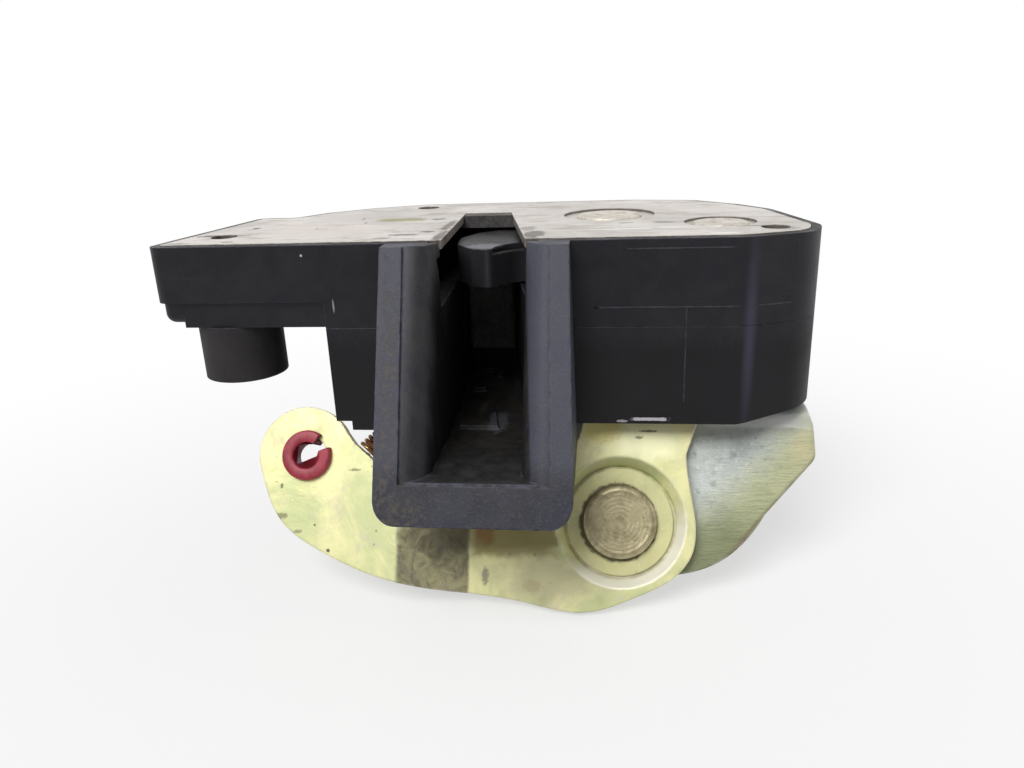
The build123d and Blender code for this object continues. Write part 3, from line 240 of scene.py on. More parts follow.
# A single mark: an oval or box with ragged, soft edges, at a place given in millimetres.
marked, given, out = effect("marked",
                            [("Place", "Vector", (0, 0, 0)), ("Centre", "Vector", (0, 0, 0)),
                             ("Half size", "Vector", (1, 1, 1)), ("Boxy", "Float", 0.0),
                             ("Soft", "Float", 0.15), ("Ragged", "Float", 0.5), ("Scale", "Float", 1.0)],
                            [("Mask", "Float")])
share = vectors(marked, "DIVIDE", vectors(marked, "SUBTRACT", given["Place"], given["Centre"]),
                given["Half size"])
oval = vectors(marked, "LENGTH", share)
sides = wire(marked, "SeparateXYZ", Vector=vectors(marked, "ABSOLUTE", share)).outputs
boxed = sums(marked, "MAXIMUM", sums(marked, "MAXIMUM", sides["X"], sides["Y"]), sides["Z"])
reach = sums(marked, "ADD", sums(marked, "MULTIPLY", oval, sums(marked, "SUBTRACT", 1.0, given["Boxy"])),
             sums(marked, "MULTIPLY", boxed, given["Boxy"]))
tear = sums(marked, "SUBTRACT", speckle(marked, given["Place"], given["Scale"], 5.0), 0.5)
torn = sums(marked, "ADD", reach, sums(marked, "MULTIPLY", tear, given["Ragged"]))
inside = sums(marked, "DIVIDE", sums(marked, "SUBTRACT", 1.0, torn), given["Soft"], clamp=True)
marked.links.new(ramp(marked, inside, 0.0, 1.0), out["Mask"])


def finish(name):
    """A new material; returns it, its tree, and the place on the piece in metres and in millimetres."""
    made = bpy.data.materials.new(name)
    made.use_nodes = True
    metres = wire(made.node_tree, "TexCoord").outputs["Object"]
    millimetres = wire(made.node_tree, "VectorMath", {"operation": "SCALE"}, i0=metres, Scale=1000.0)
    return made, made.node_tree, metres, millimetres.outputs["Vector"]


def skin(tree, colour, roughness, metallic=0.0, **bump):
    """Fills the material's shader: its colour, roughness, metal and, if given, the inputs of its bump."""
    shader = connect(tree, tree.nodes["Principled BSDF"], Base_Color=colour, Roughness=roughness,
                     Metallic=metallic)
    if bump:
        connect(tree, shader, Normal=wire(tree, "Bump", **bump).outputs["Normal"])
    return shader


def mark(tree, place, centre, half, boxy=0.0, soft=0.3, ragged=0.6, scale=0.6):
    """The mask of one mark."""
    return use(tree, marked, Place=place, Centre=centre, Half_size=half, Boxy=boxy, Soft=soft, Ragged=ragged,
               Scale=scale)["Mask"]


def wear_coat(node_name, material):
    """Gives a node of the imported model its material."""
    node = nodes[node_name]
    if not node.material_slots:
        node.data.materials.append(material)
    for place in node.material_slots:
        place.link = "OBJECT"
        place.material = material


def moulding(name, colour, rubbed, dust, roughness, cover=0.35, dust_share=0.22, marks=()):
    """A moulded plastic: grained skin, mottle, rubbed edges, dust, grime, scratches and single marks, some
    painted highlights.
    """
    made, tree, metres, millimetres = finish(name)
    edges = use(tree, rubbed_edge, Position=metres, Radius=0.00035, Breaks=700.0)
    dirt = use(tree, settled_dirt, Position=metres, Scale=110.0, Cover=cover, Corner=0.0022)
    mottle = speckle(tree, metres, 55.0, 5.0, 0.6, 0.4)
    grained = speckle(tree, metres, 4200.0, 2.0)
    darker = tuple(0.55 * v for v in colour[:3]) + (1,)
    base = blend(tree, ramp(tree, mottle, 0.3, 0.7, 0.0, 0.5), colour, darker)
    base = blend(tree, ramp(tree, grained, 0.55, 0.85, 0.0, 0.22), base, rubbed)
    nicks = [use(tree, scratched, Position=metres, Along=along, Scale=scale, Share=share)["Mask"]
             for along, scale, share in (((1.0, 1.0, 0.05), 520.0, 0.20), ((0.05, 1.0, 1.0), 480.0, 0.18))]
    nicked = sums(tree, "MAXIMUM", *nicks)
    base = lay(tree, base, nicked, 0.3, rubbed)
    base = lay(tree, base, edges["Wear"], 0.75, rubbed)
    base = lay(tree, base, dirt["Dust"], dust_share, dust)
    base = lay(tree, base, dirt["Grime"], 0.6, tint("15120f"))
    for centre, half, boxy, soft, ragged, colour_of_mark, strength in marks:
        here = mark(tree, millimetres, centre, half, boxy, soft, ragged, 1.3)
        base = lay(tree, base, here, strength, colour_of_mark)
    rough = ramp(tree, sums(tree, "ADD", mottle, sums(tree, "MULTIPLY", dirt["Dust"], 0.5)), 0.3, 1.0,
                 roughness - 0.06, roughness + 0.28)
    height = sums(tree, "SUBTRACT", sums(tree, "ADD", grained, sums(tree, "MULTIPLY", mottle, 2.0)),
                  sums(tree, "MULTIPLY", nicked, 1.5))
    shader = skin(tree, base, rough, Strength=0.6, Distance=0.00004, Height=height, Normal=edges["Normal"])
    shader.inputs["Specular IOR Level"].default_value = 0.28
    return made


housing_dust = tint("6b655e")
white_scuff = tint("c9c2c8")
# Single marks, in millimetres: the lower shell darker towards its bottom, a painted highlight down the
# rounded corner at X 45, and pale scuffs.
shell_marks_and_sheen = [((10.0, 20.0, -33.5), (70.0, 60.0, 18.0), 1.0, 0.3, 0.3, tint("060507"), 0.7),
               ((45.6, 0.4, -17.0), (1.6, 2.0, 24.0), 0.0, 1.0, 0.1, tint("45455a"), 0.5),
               ((29.0, 0.0, -32.6), (3.4, 0.6, 0.35), 1.0, 0.3, 0.9, white_scuff, 0.75),
               ((24.0, 0.0, -33.0), (1.2, 0.6, 0.3), 0.0, 0.3, 0.9, white_scuff, 0.5),
               ((-27.7, 0.0, -11.2), (0.22, 0.8, 1.6), 0.0, 0.6, 0.1, white_scuff, 0.45),
               ((-32.6, 0.0, -2.0), (0.25, 0.6, 0.25), 0.0, 0.3, 0.3, white_scuff, 0.8)]
housing_plastic = moulding("housing_plastic", tint("15131b"), tint("3d3b4b"), housing_dust, 0.36,
                           dust_share=0.16, marks=shell_marks_and_sheen)
for shell in ("latch_housing", "actuator_housing"):
    wear_coat(shell, housing_plastic)
socket_plastic = moulding("socket_plastic", tint("1b1a21"), tint("4d4b58"), tint("6f665b"), 0.5, cover=0.5)
line_plastic = moulding("line_plastic", tint("2c2b35"), tint("4d4b58"), housing_dust, 0.4)
wear_coat("connector_socket", socket_plastic)


# Witness lines: thin raised lines left by the mould's inserts on the front wall.
def grid_skin(name, points, round_u=False, round_v=False):
    """A mesh over a grid of points. Neighbours along u and v share a face; a round side meets its start."""
    rows, cols = points.shape[:2]
    index = np.arange(rows * cols).reshape(rows, cols)
    if round_u:
        index = np.vstack((index, index[:1]))
    if round_v:
        index = np.hstack((index, index[:, :1]))
    quads = np.stack((index[:-1, :-1], index[:-1, 1:], index[1:, 1:], index[1:, :-1]), axis=-1).reshape(-1, 4)
    shape = bpy.data.meshes.new(name)
    shape.from_pydata(points.reshape(-1, 3).tolist(), [], quads.tolist())
    work = bmesh.new()
    work.from_mesh(shape)
    bmesh.ops.remove_doubles(work, verts=work.verts, dist=1e-6)
    bmesh.ops.dissolve_degenerate(work, edges=work.edges, dist=1e-7)
    ends = [edge for edge in work.edges if edge.is_boundary]
    if ends:
        bmesh.ops.holes_fill(work, edges=ends)
    bmesh.ops.recalc_face_normals(work, faces=work.faces)
    work.to_mesh(shape)
    work.free()
    shape.polygons.foreach_set("use_smooth", np.ones(len(shape.polygons), dtype=bool))
    made = bpy.data.objects.new(name, shape)
    scene.collection.objects.link(made)
    return made


def ridge(name, start, end, across, outward, width, height, steps=24, sides=12):
    """A raised line, half sunk: round each point start + s (end - start), the angle a makes a full turn of
    across cos(a) width / 2 + outward sin(a) height fade(s), where the fade lowers both ends."""
    along = np.linspace(0.0, 1.0, steps)[:, None, None]
    angle = np.linspace(0.0, 2 * math.pi, sides + 1)[None, :-1, None]
    path = np.array(start) + along * (np.array(end) - np.array(start))
    end_height, rise = 0.15, 8
    fade = np.minimum(1.0, rise * np.minimum(along, 1 - along) + end_height)
    return grid_skin(name, (path + np.array(across) * np.cos(angle) * width / 2
                            + np.array(outward) * fade * np.sin(angle) * height) / 1000.0, round_v=True)


level_z, front_y = -11.9, 0.0
front_out, chamfer_out = (0, -1, 0), (0.3486, -0.9373, 0)
line_width = 0.3
for line_name, start, end, across, outward, line_height in (
        ("level", (19.0, front_y, level_z), (43.8, front_y, level_z), (0, 0, 1), front_out, 0.12),
        ("upright", (34.8, front_y, -12.0), (34.8, front_y, -30.0), (1, 0, 0), front_out, 0.1),
        ("top", (24.0, front_y, -1.8), (42.5, front_y, -1.8), (0, 0, 1), front_out, 0.1),
        ("side", (46.8, 0.67, level_z), (52.6, 2.83, level_z), (0, 0, 1), chamfer_out, 0.1)):
    line_piece = ridge("witness_line_" + line_name, start, end, across, outward, line_width, line_height)
    line_piece.data.materials.append(line_plastic)
    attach(line_piece, "housing")

# ---- throat guide -------------------------------------------------------------------------------------
# A grey-blue moulding that leads the striker in. Its frame is paler and its edges rubbed; the channel
# behind is dark, with painted shade that deepens further in, and streaked by the striker's passes, with
# brown dust along its left rim.
throat_moulding, tree, metres, millimetres = finish("throat_moulding")
edges = use(tree, rubbed_edge, Position=metres, Radius=0.0005, Breaks=500.0)
dirt = use(tree, settled_dirt, Position=metres, Scale=160.0, Cover=0.42, Corner=0.004)
axes = wire(tree, "SeparateXYZ", Vector=millimetres).outputs
mottle = speckle(tree, metres, 130.0, 6.0, 0.7)
grain = speckle(tree, metres, 2400.0, 2.0)
# How far a point lies behind the frame's leaning face, and how far inside its tapering opening. The lever
# and the back plate's flange lean by the same angle.
lean = math.radians(28.0)
face_foot = (0.0, -4.0, 0.0)
behind = vectors(tree, "DOT_PRODUCT", vectors(tree, "SUBTRACT", millimetres, face_foot),
                 (0.0, math.cos(lean), -math.sin(lean)))
left_x, left_taper, right_x, right_taper, sill_z = -9.7, 0.042, 7.7, 0.054, -36.6
from_left = sums(tree, "SUBTRACT", vectors(tree, "DOT_PRODUCT", millimetres, (1.0, 0.0, left_taper)), left_x)
from_right = sums(tree, "SUBTRACT", right_x,
                  vectors(tree, "DOT_PRODUCT", millimetres, (1.0, 0.0, right_taper)))
within = sums(tree, "MINIMUM", sums(tree, "MINIMUM", from_left, from_right),
              sums(tree, "SUBTRACT", axes["Z"], sill_z))
inside = sums(tree, "MULTIPLY", ramp(tree, within, 0.0, 0.6), ramp(tree, behind, 0.3, 1.6))
depth = ramp(tree, behind, 1.0, 16.0)
frame_colour = blend(tree, ramp(tree, mottle, 0.3, 0.7), tint("1e1f28"), tint("2b2d39"))
frame_colour = blend(tree, ramp(tree, grain, 0.5, 0.8, 0.0, 0.3), frame_colour, tint("5f606e"))
# The legs are a little paler than the sill, and the left leg's lead-in is darkened with painted shade.
leg = ramp(tree, axes["Z"], -36.0, -31.0, 0.0, 0.32)
frame_colour = blend(tree, leg, frame_colour, tint("5a5c6c"))
left_lead = sums(tree, "MULTIPLY", ramp(tree, axes["X"], -12.8, -11.4), ramp(tree, axes["X"], -4.0, -6.0))
left_lead = sums(tree, "MULTIPLY", left_lead, ramp(tree, axes["Z"], -36.5, -34.0))
frame_colour = lay(tree, frame_colour, left_lead, 0.85, tint("111216"))
streaks = speckle(tree, vectors(tree, "MULTIPLY", metres, (1.0, 1.0, 0.12)), 420.0, 5.0, 0.65)
inner_colour = blend(tree, ramp(tree, streaks, 0.42, 0.72), tint("131316"), tint("2a2a2e"))
# Painted shade: the channel darkens to near black the further in it goes.
inner_colour = blend(tree, depth, inner_colour, tint("0b0b0c"))
whole = blend(tree, inside, frame_colour, inner_colour)
for centre, half, colour, strength in (((0.8, 4.0, -34.8), (2.4, 7.0, 1.4), tint("4c4c52"), 0.55),
                                       ((0.5, 22.0, -20.0), (1.6, 12.0, 2.2), tint("57575f"), 0.5),
                                       ((-6.4, 6.0, -12.0), (1.6, 12.0, 9.0), tint("4a3f33"), 0.5),
                                       ((-3.0, 12.0, -34.5), (1.0, 8.0, 1.2), tint("39312a"), 0.5)):
    here = mark(tree, millimetres, centre, half, 0.2, 0.5, 1.2, 0.7)
    whole = lay(tree, whole, here, strength, colour)
left_rim = mark(tree, millimetres, (-14.2, -17.0, -26.0), (2.0, 16.0, 26.0), 1.0, 0.5, 1.4, 0.35)
low_left = mark(tree, millimetres, (-10.5, -24.0, -39.5), (4.5, 5.0, 3.4), 0.0, 0.6, 1.3, 0.5)
brown = sums(tree, "MAXIMUM", left_rim, low_left)
dusty = sums(tree, "MULTIPLY", brown, ramp(tree, speckle(tree, metres, 900.0, 4.0), 0.4, 0.62))
whole = lay(tree, whole, dusty, 0.4, tint("6f685e"))
whole = lay(tree, whole, dirt["Dust"], 0.14, tint("6c675f"))
whole = lay(tree, whole, dirt["Grime"], 0.7, tint("1a1613"))
whole = lay(tree, whole, edges["Wear"], 0.5, tint("777888"))
height = sums(tree, "ADD", grain, sums(tree, "MULTIPLY", streaks, sums(tree, "MULTIPLY", depth, 4.0)))
shader = skin(tree, whole, ramp(tree, sums(tree, "ADD", mottle, dusty), 0.3, 1.2, 0.48, 0.8),
              Strength=0.7, Distance=0.00006, Height=height, Normal=edges["Normal"])
shader.inputs["Specular IOR Level"].default_value = 0.3
wear_coat("throat_guide", throat_moulding)

# ---- buffers ------------------------------------------------------------------------------------------
# The striker stops against rubber at the slot's end: a lip in the plate's slot and a block below it. Both
# are moulded, matt and full of fine pores, and dust sticks to them.
buffer_rubber, tree, metres, _ = finish("buffer_rubber")
dirt = use(tree, settled_dirt, Position=metres, Scale=220.0, Cover=0.45, Corner=0.002)
pores = speckle(tree, metres, 1500.0, 4.0)
rubber = blend(tree, ramp(tree, pores, 0.35, 0.7), tint("2b2a2d"), tint("4a484c"))
rubber = lay(tree, rubber, dirt["Dust"], 0.6, tint("847c72"))
skin(tree, rubber, ramp(tree, pores, 0.2, 0.8, 0.7, 0.9), Strength=0.5, Distance=0.00008, Height=pores)
for buffer in ("slot_buffer", "striker_buffer"):
    wear_coat(buffer, buffer_rubber)

# ---- frame plate and its studs ------------------------------------------------------------------------
# Pressed steel under dull zinc, cream to grey, with old grease and brown grime rubbed into it. The studs of
# the fork and the pawl are riveted flush into two sunk seats.
frame_plate_zinc, tree, metres, millimetres = finish("frame_plate_zinc")
edges = use(tree, rubbed_edge, Position=metres, Radius=0.0003, Breaks=700.0)
cloud = speckle(tree, metres, 45.0, 6.0, 0.62, 0.5)
smear = speckle(tree, vectors(tree, "MULTIPLY", metres, (0.35, 1.0, 1.0)), 260.0, 6.0, 0.7, 0.8)
fleck = speckle(tree, metres, 1300.0, 3.0)
zinc = blend(tree, ramp(tree, cloud, 0.35, 0.65), tint("c8c2bb"), tint("e4ded8"))
zinc = blend(tree, ramp(tree, smear, 0.5, 0.72, 0.0, 0.75), zinc, tint("a2978a"))
zinc = blend(tree, ramp(tree, fleck, 0.6, 0.8, 0.0, 0.7), zinc, tint("8c8375"))
pink = mark(tree, millimetres, (-34.0, 18.0, 0), (16, 14, 9), 0.0, 0.8, 1.0, 0.15)
zinc = lay(tree, zinc, pink, 0.35, tint("dccbc2"))
dark_grease = tint("453c30")
grease = [((-53.0, 11.5, 0), (6.0, 1.4, 9), 0.9), ((-52.2, 8.3, 0), (3.4, 0.7, 9), 0.6),
          ((-48.0, 4.2, 0), (1.3, 0.7, 9), 0.8), ((-57.5, 3.2, 0), (3.0, 1.0, 9), 0.6),
          ((-49.7, 20.9, 0), (1.0, 1.3, 9), 0.9), ((-30.4, 32.0, 0), (0.5, 0.9, 9), 0.8),
          ((-28.1, 25.7, 0), (0.4, 0.8, 9), 0.8), ((-36.0, 18.6, 0), (0.5, 0.6, 9), 0.7),
          ((-13.5, 29.0, 0), (1.8, 1.4, 9), 0.8), ((-16.0, 8.6, 0), (3.8, 1.1, 9), 0.8),
          ((-12.2, 12.0, 0), (1.6, 1.4, 9), 0.75), ((-19.0, 5.2, 0), (2.2, 0.9, 9), 0.6),
          ((24.5, 18.0, 0), (1.6, 0.8, 9), 0.55), ((31.9, 18.0, 0), (2.4, 1.0, 9), 0.65),
          ((18.0, 15.0, 0), (6.5, 0.45, 9), 0.45), ((8.4, 6.6, 0), (2.4, 4.6, 9), 0.8),
          ((6.6, 13.5, 0), (1.8, 3.2, 9), 0.5), ((46.5, 11.2, 0), (4.2, 0.7, 9), 0.55),
          ((52.0, 7.8, 0), (2.6, 2.0, 9), 0.45), ((5.0, 45.0, 0), (6.0, 0.8, 9), 0.3)]
for centre, half, strength in grease:
    here = mark(tree, millimetres, centre, half, 0.0, 0.4, 1.5, 0.9)
    zinc = lay(tree, zinc, here, strength, dark_grease)
chromate_spot = mark(tree, millimetres, (-21.3, 29.2, 0), (6.2, 2.6, 9), 0.6, 0.35, 0.7, 0.5)
zinc = lay(tree, zinc, chromate_spot, 0.85, tint("9a9258"))
for centre, half in (((24.0, 10.6, 0), (9.0, 0.55, 9)), ((33.0, 11.6, 0), (3.6, 0.5, 9)),
                     ((41.0, 3.9, 0), (3.6, 0.5, 9))):
    rubbed_strip = mark(tree, millimetres, centre, half, 0.0, 0.5, 0.8, 0.8)
    zinc = lay(tree, zinc, rubbed_strip, 0.95, tint("fbfaf6"))
upright = wire(tree, "SeparateXYZ", Vector=wire(tree, "NewGeometry").outputs["Normal"]).outputs["Z"]
zinc = blend(tree, ramp(tree, upright, 0.8, 0.2, 0.0, 0.7), zinc, tint("4f453a"))
for centre, half, strength in (((-8.6, 6.0, 0), (1.3, 8.0, 9), 0.85), ((-9.6, 20.0, 0), (1.1, 9.0, 9), 0.75),
                               ((8.0, 1.6, 0), (1.6, 2.4, 9), 0.6), ((-11.5, 1.4, 0), (4.0, 0.8, 9), 0.6)):
    here = mark(tree, millimetres, centre, half, 0.0, 0.5, 1.6, 0.8)
    zinc = lay(tree, zinc, here, strength, tint("55483a"))
shade = wire(tree, "AmbientOcclusion", {"samples": 4}, Distance=0.0012).outputs["AO"]
zinc = blend(tree, ramp(tree, shade, 0.85, 0.35, 0.0, 0.85), zinc, tint("3a3127"))
zinc = lay(tree, zinc, edges["Wear"], 0.4, tint("efece4"))
height = sums(tree, "ADD", sums(tree, "MULTIPLY", cloud, 3.0), smear)
skin(tree, zinc, ramp(tree, smear, 0.3, 0.8, 0.38, 0.62), ramp(tree, cloud, 0.3, 0.7, 0.25, 0.5),
     Strength=0.5, Distance=0.00005, Height=height, Normal=edges["Normal"])
wear_coat("frame_plate", frame_plate_zinc)


def turned_steel(name, pale, dark, centre, ring_height=0.09):
    """Riveted steel: rings left by the rivet's punch round its middle, under scuffs and grime."""
    made, tree, metres, millimetres = finish(name)
    away = vectors(tree, "LENGTH", vectors(tree, "SUBTRACT", millimetres, centre))
    rings = sums(tree, "SINE", sums(tree, "MULTIPLY", away, 9.0))
    worn = speckle(tree, metres, 380.0, 5.0, 0.7, 0.5)
    fleck = speckle(tree, metres, 1600.0, 3.0)
    colour = blend(tree, ramp(tree, worn, 0.32, 0.62), dark, pale)
    colour = blend(tree, ramp(tree, fleck, 0.55, 0.75, 0.0, 0.6), colour, dark)
    dirt = use(tree, settled_dirt, Position=metres, Scale=260.0, Cover=0.4, Corner=0.0015)
    colour = lay(tree, colour, dirt["Grime"], 0.9, tint("2c241b"))
    edges = use(tree, rubbed_edge, Position=metres, Radius=0.0003, Breaks=600.0)
    colour = lay(tree, colour, edges["Wear"], 0.7, tint("ece4d4"))
    height = sums(tree, "ADD", sums(tree, "MULTIPLY", rings, ring_height), sums(tree, "MULTIPLY", worn, 2.0))
    skin(tree, colour, ramp(tree, worn, 0.3, 0.7, 0.5, 0.34), ramp(tree, fleck, 0.3, 0.8, 0.75, 0.45),
         Strength=0.6, Distance=0.00007, Height=height, Normal=edges["Normal"])
    return made


for stud, pale, dark, centre in (("fork_stud", "dcd5c8", "b5ab9c", (21.5, 31.0, 0.0)),
                                 ("pawl_stud", "dcd5ca", "b8aea1", (42.0, 17.5, 0.0))):
    wear_coat(stud, turned_steel(stud + "_steel", tint(pale), tint(dark), centre))

# ---- fork ---------------------------------------------------------------------------------------------
# A thick hooked steel bolt, dark and oily, over-moulded with black plastic that hushes the striker. Its
# nose stands in the throat, paler on top.
# Its one mark is a paler patch on top of the nose.
cover_plastic = moulding("cover_plastic", tint("2a292d"), tint("77767e"), tint("7a7268"), 0.4, cover=0.3,
                         marks=[((-1.5, 14.5, -3.3), (4.6, 3.2, 0.6), 0.0, 0.35, 0.9, tint("8b8b96"), 0.55)])
wear_coat("fork_cover", cover_plastic)
oiled_steel, tree, metres, _ = finish("oiled_steel")
edges = use(tree, rubbed_edge, Position=metres, Radius=0.0003, Breaks=600.0)
film = speckle(tree, metres, 180.0, 5.0, 0.65, 0.4)
steel = blend(tree, ramp(tree, film, 0.35, 0.65), tint("3b3733"), tint("5d5850"))
steel = lay(tree, steel, edges["Wear"], 0.9, tint("b5b0a6"))
rusted = ramp(tree, speckle(tree, metres, 700.0, 4.0), 0.62, 0.75, 0.0, 0.5)
steel = blend(tree, rusted, steel, tint("5a3a22"))
skin(tree, steel, ramp(tree, film, 0.3, 0.7, 0.3, 0.5), ramp(tree, film, 0.3, 0.7, 0.9, 0.6),
     Strength=0.5, Distance=0.00005, Height=film, Normal=edges["Normal"])
wear_coat("fork_bolt", oiled_steel)

# ---- pawl ---------------------------------------------------------------------------------------------
# The fork's catch: the same oily steel under a moulded cover, with an arm that the release lever lifts. It
# turns on its own stud, riveted into the frame plate.
wear_coat("pawl", oiled_steel)
for cover in ("pawl_cover", "pawl_arm"):
    wear_coat(cover, cover_plastic)


# ---- springs ------------------------------------------------------------------------------------------
# Three springs wound from drawn wire. Those of the fork and the pawl are inside and have stayed bright; the
# lever's return spring hangs in the open and has rusted to a golden brown.
def spring_wire(name, bright, dull, rust, share):
    """Drawn wire with rust in patches."""
    made, tree, metres, _ = finish(name)
    patch = speckle(tree, metres, 520.0, 5.0, 0.7, 0.6)
    fleck = speckle(tree, metres, 1800.0, 3.0)
    colour = blend(tree, ramp(tree, fleck, 0.35, 0.65), bright, dull)
    rusty = ramp(tree, patch, 0.75 - share, 0.85 - share)
    colour = blend(tree, rusty, colour, rust)
    skin(tree, colour, ramp(tree, rusty, 0.0, 1.0, 0.32, 0.75), ramp(tree, rusty, 0.0, 1.0, 0.95, 0.15),
         Strength=0.6, Distance=0.00005, Height=patch)
    return made


clean_wire = spring_wire("clean_wire", tint("b9b4aa"), tint("8e887d"), tint("6b4a2c"), 0.1)
for coil in ("fork_spring", "pawl_spring"):
    wear_coat(coil, clean_wire)
wear_coat("lever_spring", spring_wire("rusty_wire", tint("c7a979"), tint("8f6d43"), tint("7a4a22"), 0.32))

# ---- back plate ---------------------------------------------------------------------------------------
# Rolled steel with a thin clear zinc passivate: silver-grey and brushed, turning yellow-green near its edges
# and brown along the sheared rim. Its flange bends down behind the lever, with a painted highlight along the
# bend.
slope_origin = np.array((0.0, 6.0, -34.0))
slope_right = np.array((1.0, 0.0, 0.0))
slope_up = np.array((0.0, math.sin(lean), math.cos(lean)))
slope_out = np.array((0.0, -math.cos(lean), math.sin(lean)))
slope_place, given, out = effect("slope_place", [("Place", "Vector", (0, 0, 0))], [("Place", "Vector")])
from_origin = vectors(slope_place, "SUBTRACT", given["Place"], slope_origin)
on_slope = {axis: vectors(slope_place, "DOT_PRODUCT", from_origin, direction)
            for axis, direction in (("X", slope_right), ("Y", slope_up), ("Z", slope_out))}
slope_place.links.new(wire(slope_place, "CombineXYZ", **on_slope).outputs["Vector"], out["Place"])

back_plate_steel, tree, metres, millimetres = finish("back_plate_steel")
edges = use(tree, rubbed_edge, Position=metres, Radius=0.0007, Breaks=350.0)
slope = use(tree, slope_place, Place=millimetres)["Place"]
rolled = speckle(tree, vectors(tree, "MULTIPLY", slope, (0.1, 1.0, 1.0)), 3.2, 5.0, 0.7)
cloud = speckle(tree, metres, 90.0, 6.0, 0.65, 0.5)
fleck = speckle(tree, metres, 1500.0, 3.0)
steel = blend(tree, ramp(tree, cloud, 0.35, 0.65), tint("abb0ad"), tint("ccd1cc"))
steel = blend(tree, ramp(tree, rolled, 0.55, 0.75, 0.0, 0.4), steel, tint("8d9491"))
steel = blend(tree, ramp(tree, fleck, 0.58, 0.78, 0.0, 0.7), steel, tint("e6e9e4"))
dulled = ramp(tree, speckle(tree, metres, 800.0, 4.0), 0.55, 0.75, 0.0, 0.5)
steel = blend(tree, dulled, steel, tint("7d8580"))
# Distance in from the long sheared edge, which falls from the right end to the foot.
sheared_end, sheared_square = (59.9, -7.6, 0.0), (0.745, -0.668, 0.0)
inset = vectors(tree, "DOT_PRODUCT", vectors(tree, "SUBTRACT", slope, sheared_end), sheared_square)
waver = sums(tree, "MULTIPLY", sums(tree, "SUBTRACT", cloud, 0.5), 12.0)
yellowed = ramp(tree, sums(tree, "ADD", inset, waver), -11.0, -2.0)
steel = lay(tree, steel, yellowed, 0.75, tint("b9bb86"))
height_on_slope = wire(tree, "SeparateXYZ", Vector=slope).outputs["Y"]
low = ramp(tree, sums(tree, "ADD", height_on_slope, waver), -12.0, -24.0)
steel = lay(tree, steel, low, 0.75, tint("7c8362"))
# Painted highlight: a white band along the bend under the housing.
bend_highlight = mark(tree, slope, (49.0, -0.6, -4), (11.0, 1.8, 9), 0.9, 0.5, 0.5, 0.4)
steel = lay(tree, steel, bend_highlight, 0.85, tint("f6f6f2"))
browned = ramp(tree, sums(tree, "ADD", inset, sums(tree, "MULTIPLY", waver, 0.08)), -0.7, 0.1)
steel = lay(tree, steel, browned, 0.5, tint("7d6250"))
warm = mark(tree, slope, (57.5, -6.0, -4), (3.0, 5.0, 9), 0.0, 0.8, 1.0, 0.4)
steel = lay(tree, steel, warm, 0.3, tint("e4cfa4"))
steel = lay(tree, steel, edges["Wear"], 0.5, tint("f4f2ee"))
height = sums(tree, "ADD", sums(tree, "MULTIPLY", rolled, 2.0), fleck)
skin(tree, steel, ramp(tree, rolled, 0.3, 0.7, 0.34, 0.52), ramp(tree, cloud, 0.3, 0.7, 0.55, 0.8),
     Strength=0.5, Distance=0.00004, Height=height, Normal=edges["Normal"])
wear_coat("back_plate", back_plate_steel)
screw_steel = turned_steel("screw_steel", tint("b5b3ad"), tint("77736b"), (12.6, 49.0, -35.5),
                           ring_height=0.0)
wear_coat("cover_screws", screw_steel)

# ---- release lever ------------------------------------------------------------------------------------
# Pressed steel in yellow chromate, blotched from pale yellow to green-grey. It is pricked with rust at its
# rim. Under the throat, where it jogs back, it carries painted shadow and dark painted reflections, and a
# painted pool of light lies above its dish.
yellow_chromate, given, out = effect("yellow_chromate",
                                     [("Position", "Vector", (0, 0, 0)), ("Pale", "Color", tint("ece7ad")),
                                      ("Green", "Color", tint("c9cf98")), ("Worn", "Color", tint("cfc6b2")),
                                      ("Rust", "Float", 0.5)],
                                     [("Colour", "Color"), ("Dullness", "Float"), ("Height", "Float")])
tree = yellow_chromate
cloud = speckle(tree, given["Position"], 70.0, 6.0, 0.62, 0.8)
veil = speckle(tree, given["Position"], 190.0, 6.0, 0.7, 0.5)
fleck = speckle(tree, given["Position"], 1500.0, 3.0)
colour = blend(tree, ramp(tree, cloud, 0.4, 0.68), given["Pale"], given["Green"])
colour = blend(tree, ramp(tree, veil, 0.52, 0.72, 0.0, 0.6), colour, given["Worn"])
colour = blend(tree, ramp(tree, fleck, 0.62, 0.8, 0.0, 0.5), colour, tint("fbfae6"))
pits = wire(tree, "TexVoronoi", Vector=given["Position"], Scale=330.0, Randomness=1.0).outputs["Distance"]
pitted = sums(tree, "MULTIPLY", ramp(tree, pits, 0.13, 0.05),
              ramp(tree, speckle(tree, given["Position"], 210.0, 3.0), 0.56, 0.62))
colour = lay(tree, colour, pitted, given["Rust"], tint("5b4634"))
tree.links.new(colour, out["Colour"])
tree.links.new(ramp(tree, veil, 0.3, 0.7, 0.34, 0.55), out["Dullness"])
tree.links.new(sums(tree, "ADD", sums(tree, "MULTIPLY", cloud, 4.0), sums(tree, "MULTIPLY", veil, 2.0)),
               out["Height"])

lever_chromate, tree, metres, millimetres = finish("lever_chromate")
edges = use(tree, rubbed_edge, Position=metres, Radius=0.0005, Breaks=400.0)
coat = use(tree, yellow_chromate, Position=metres, Rust=0.7)
slope = use(tree, slope_place, Place=millimetres)["Place"]
on_lever = wire(tree, "SeparateXYZ", Vector=slope).outputs
colour = coat["Colour"]
waver = sums(tree, "MULTIPLY", sums(tree, "SUBTRACT", speckle(tree, metres, 260.0, 5.0), 0.5), 3.0)
run = sums(tree, "ADD", on_lever["X"], sums(tree, "MULTIPLY", waver, 0.35))
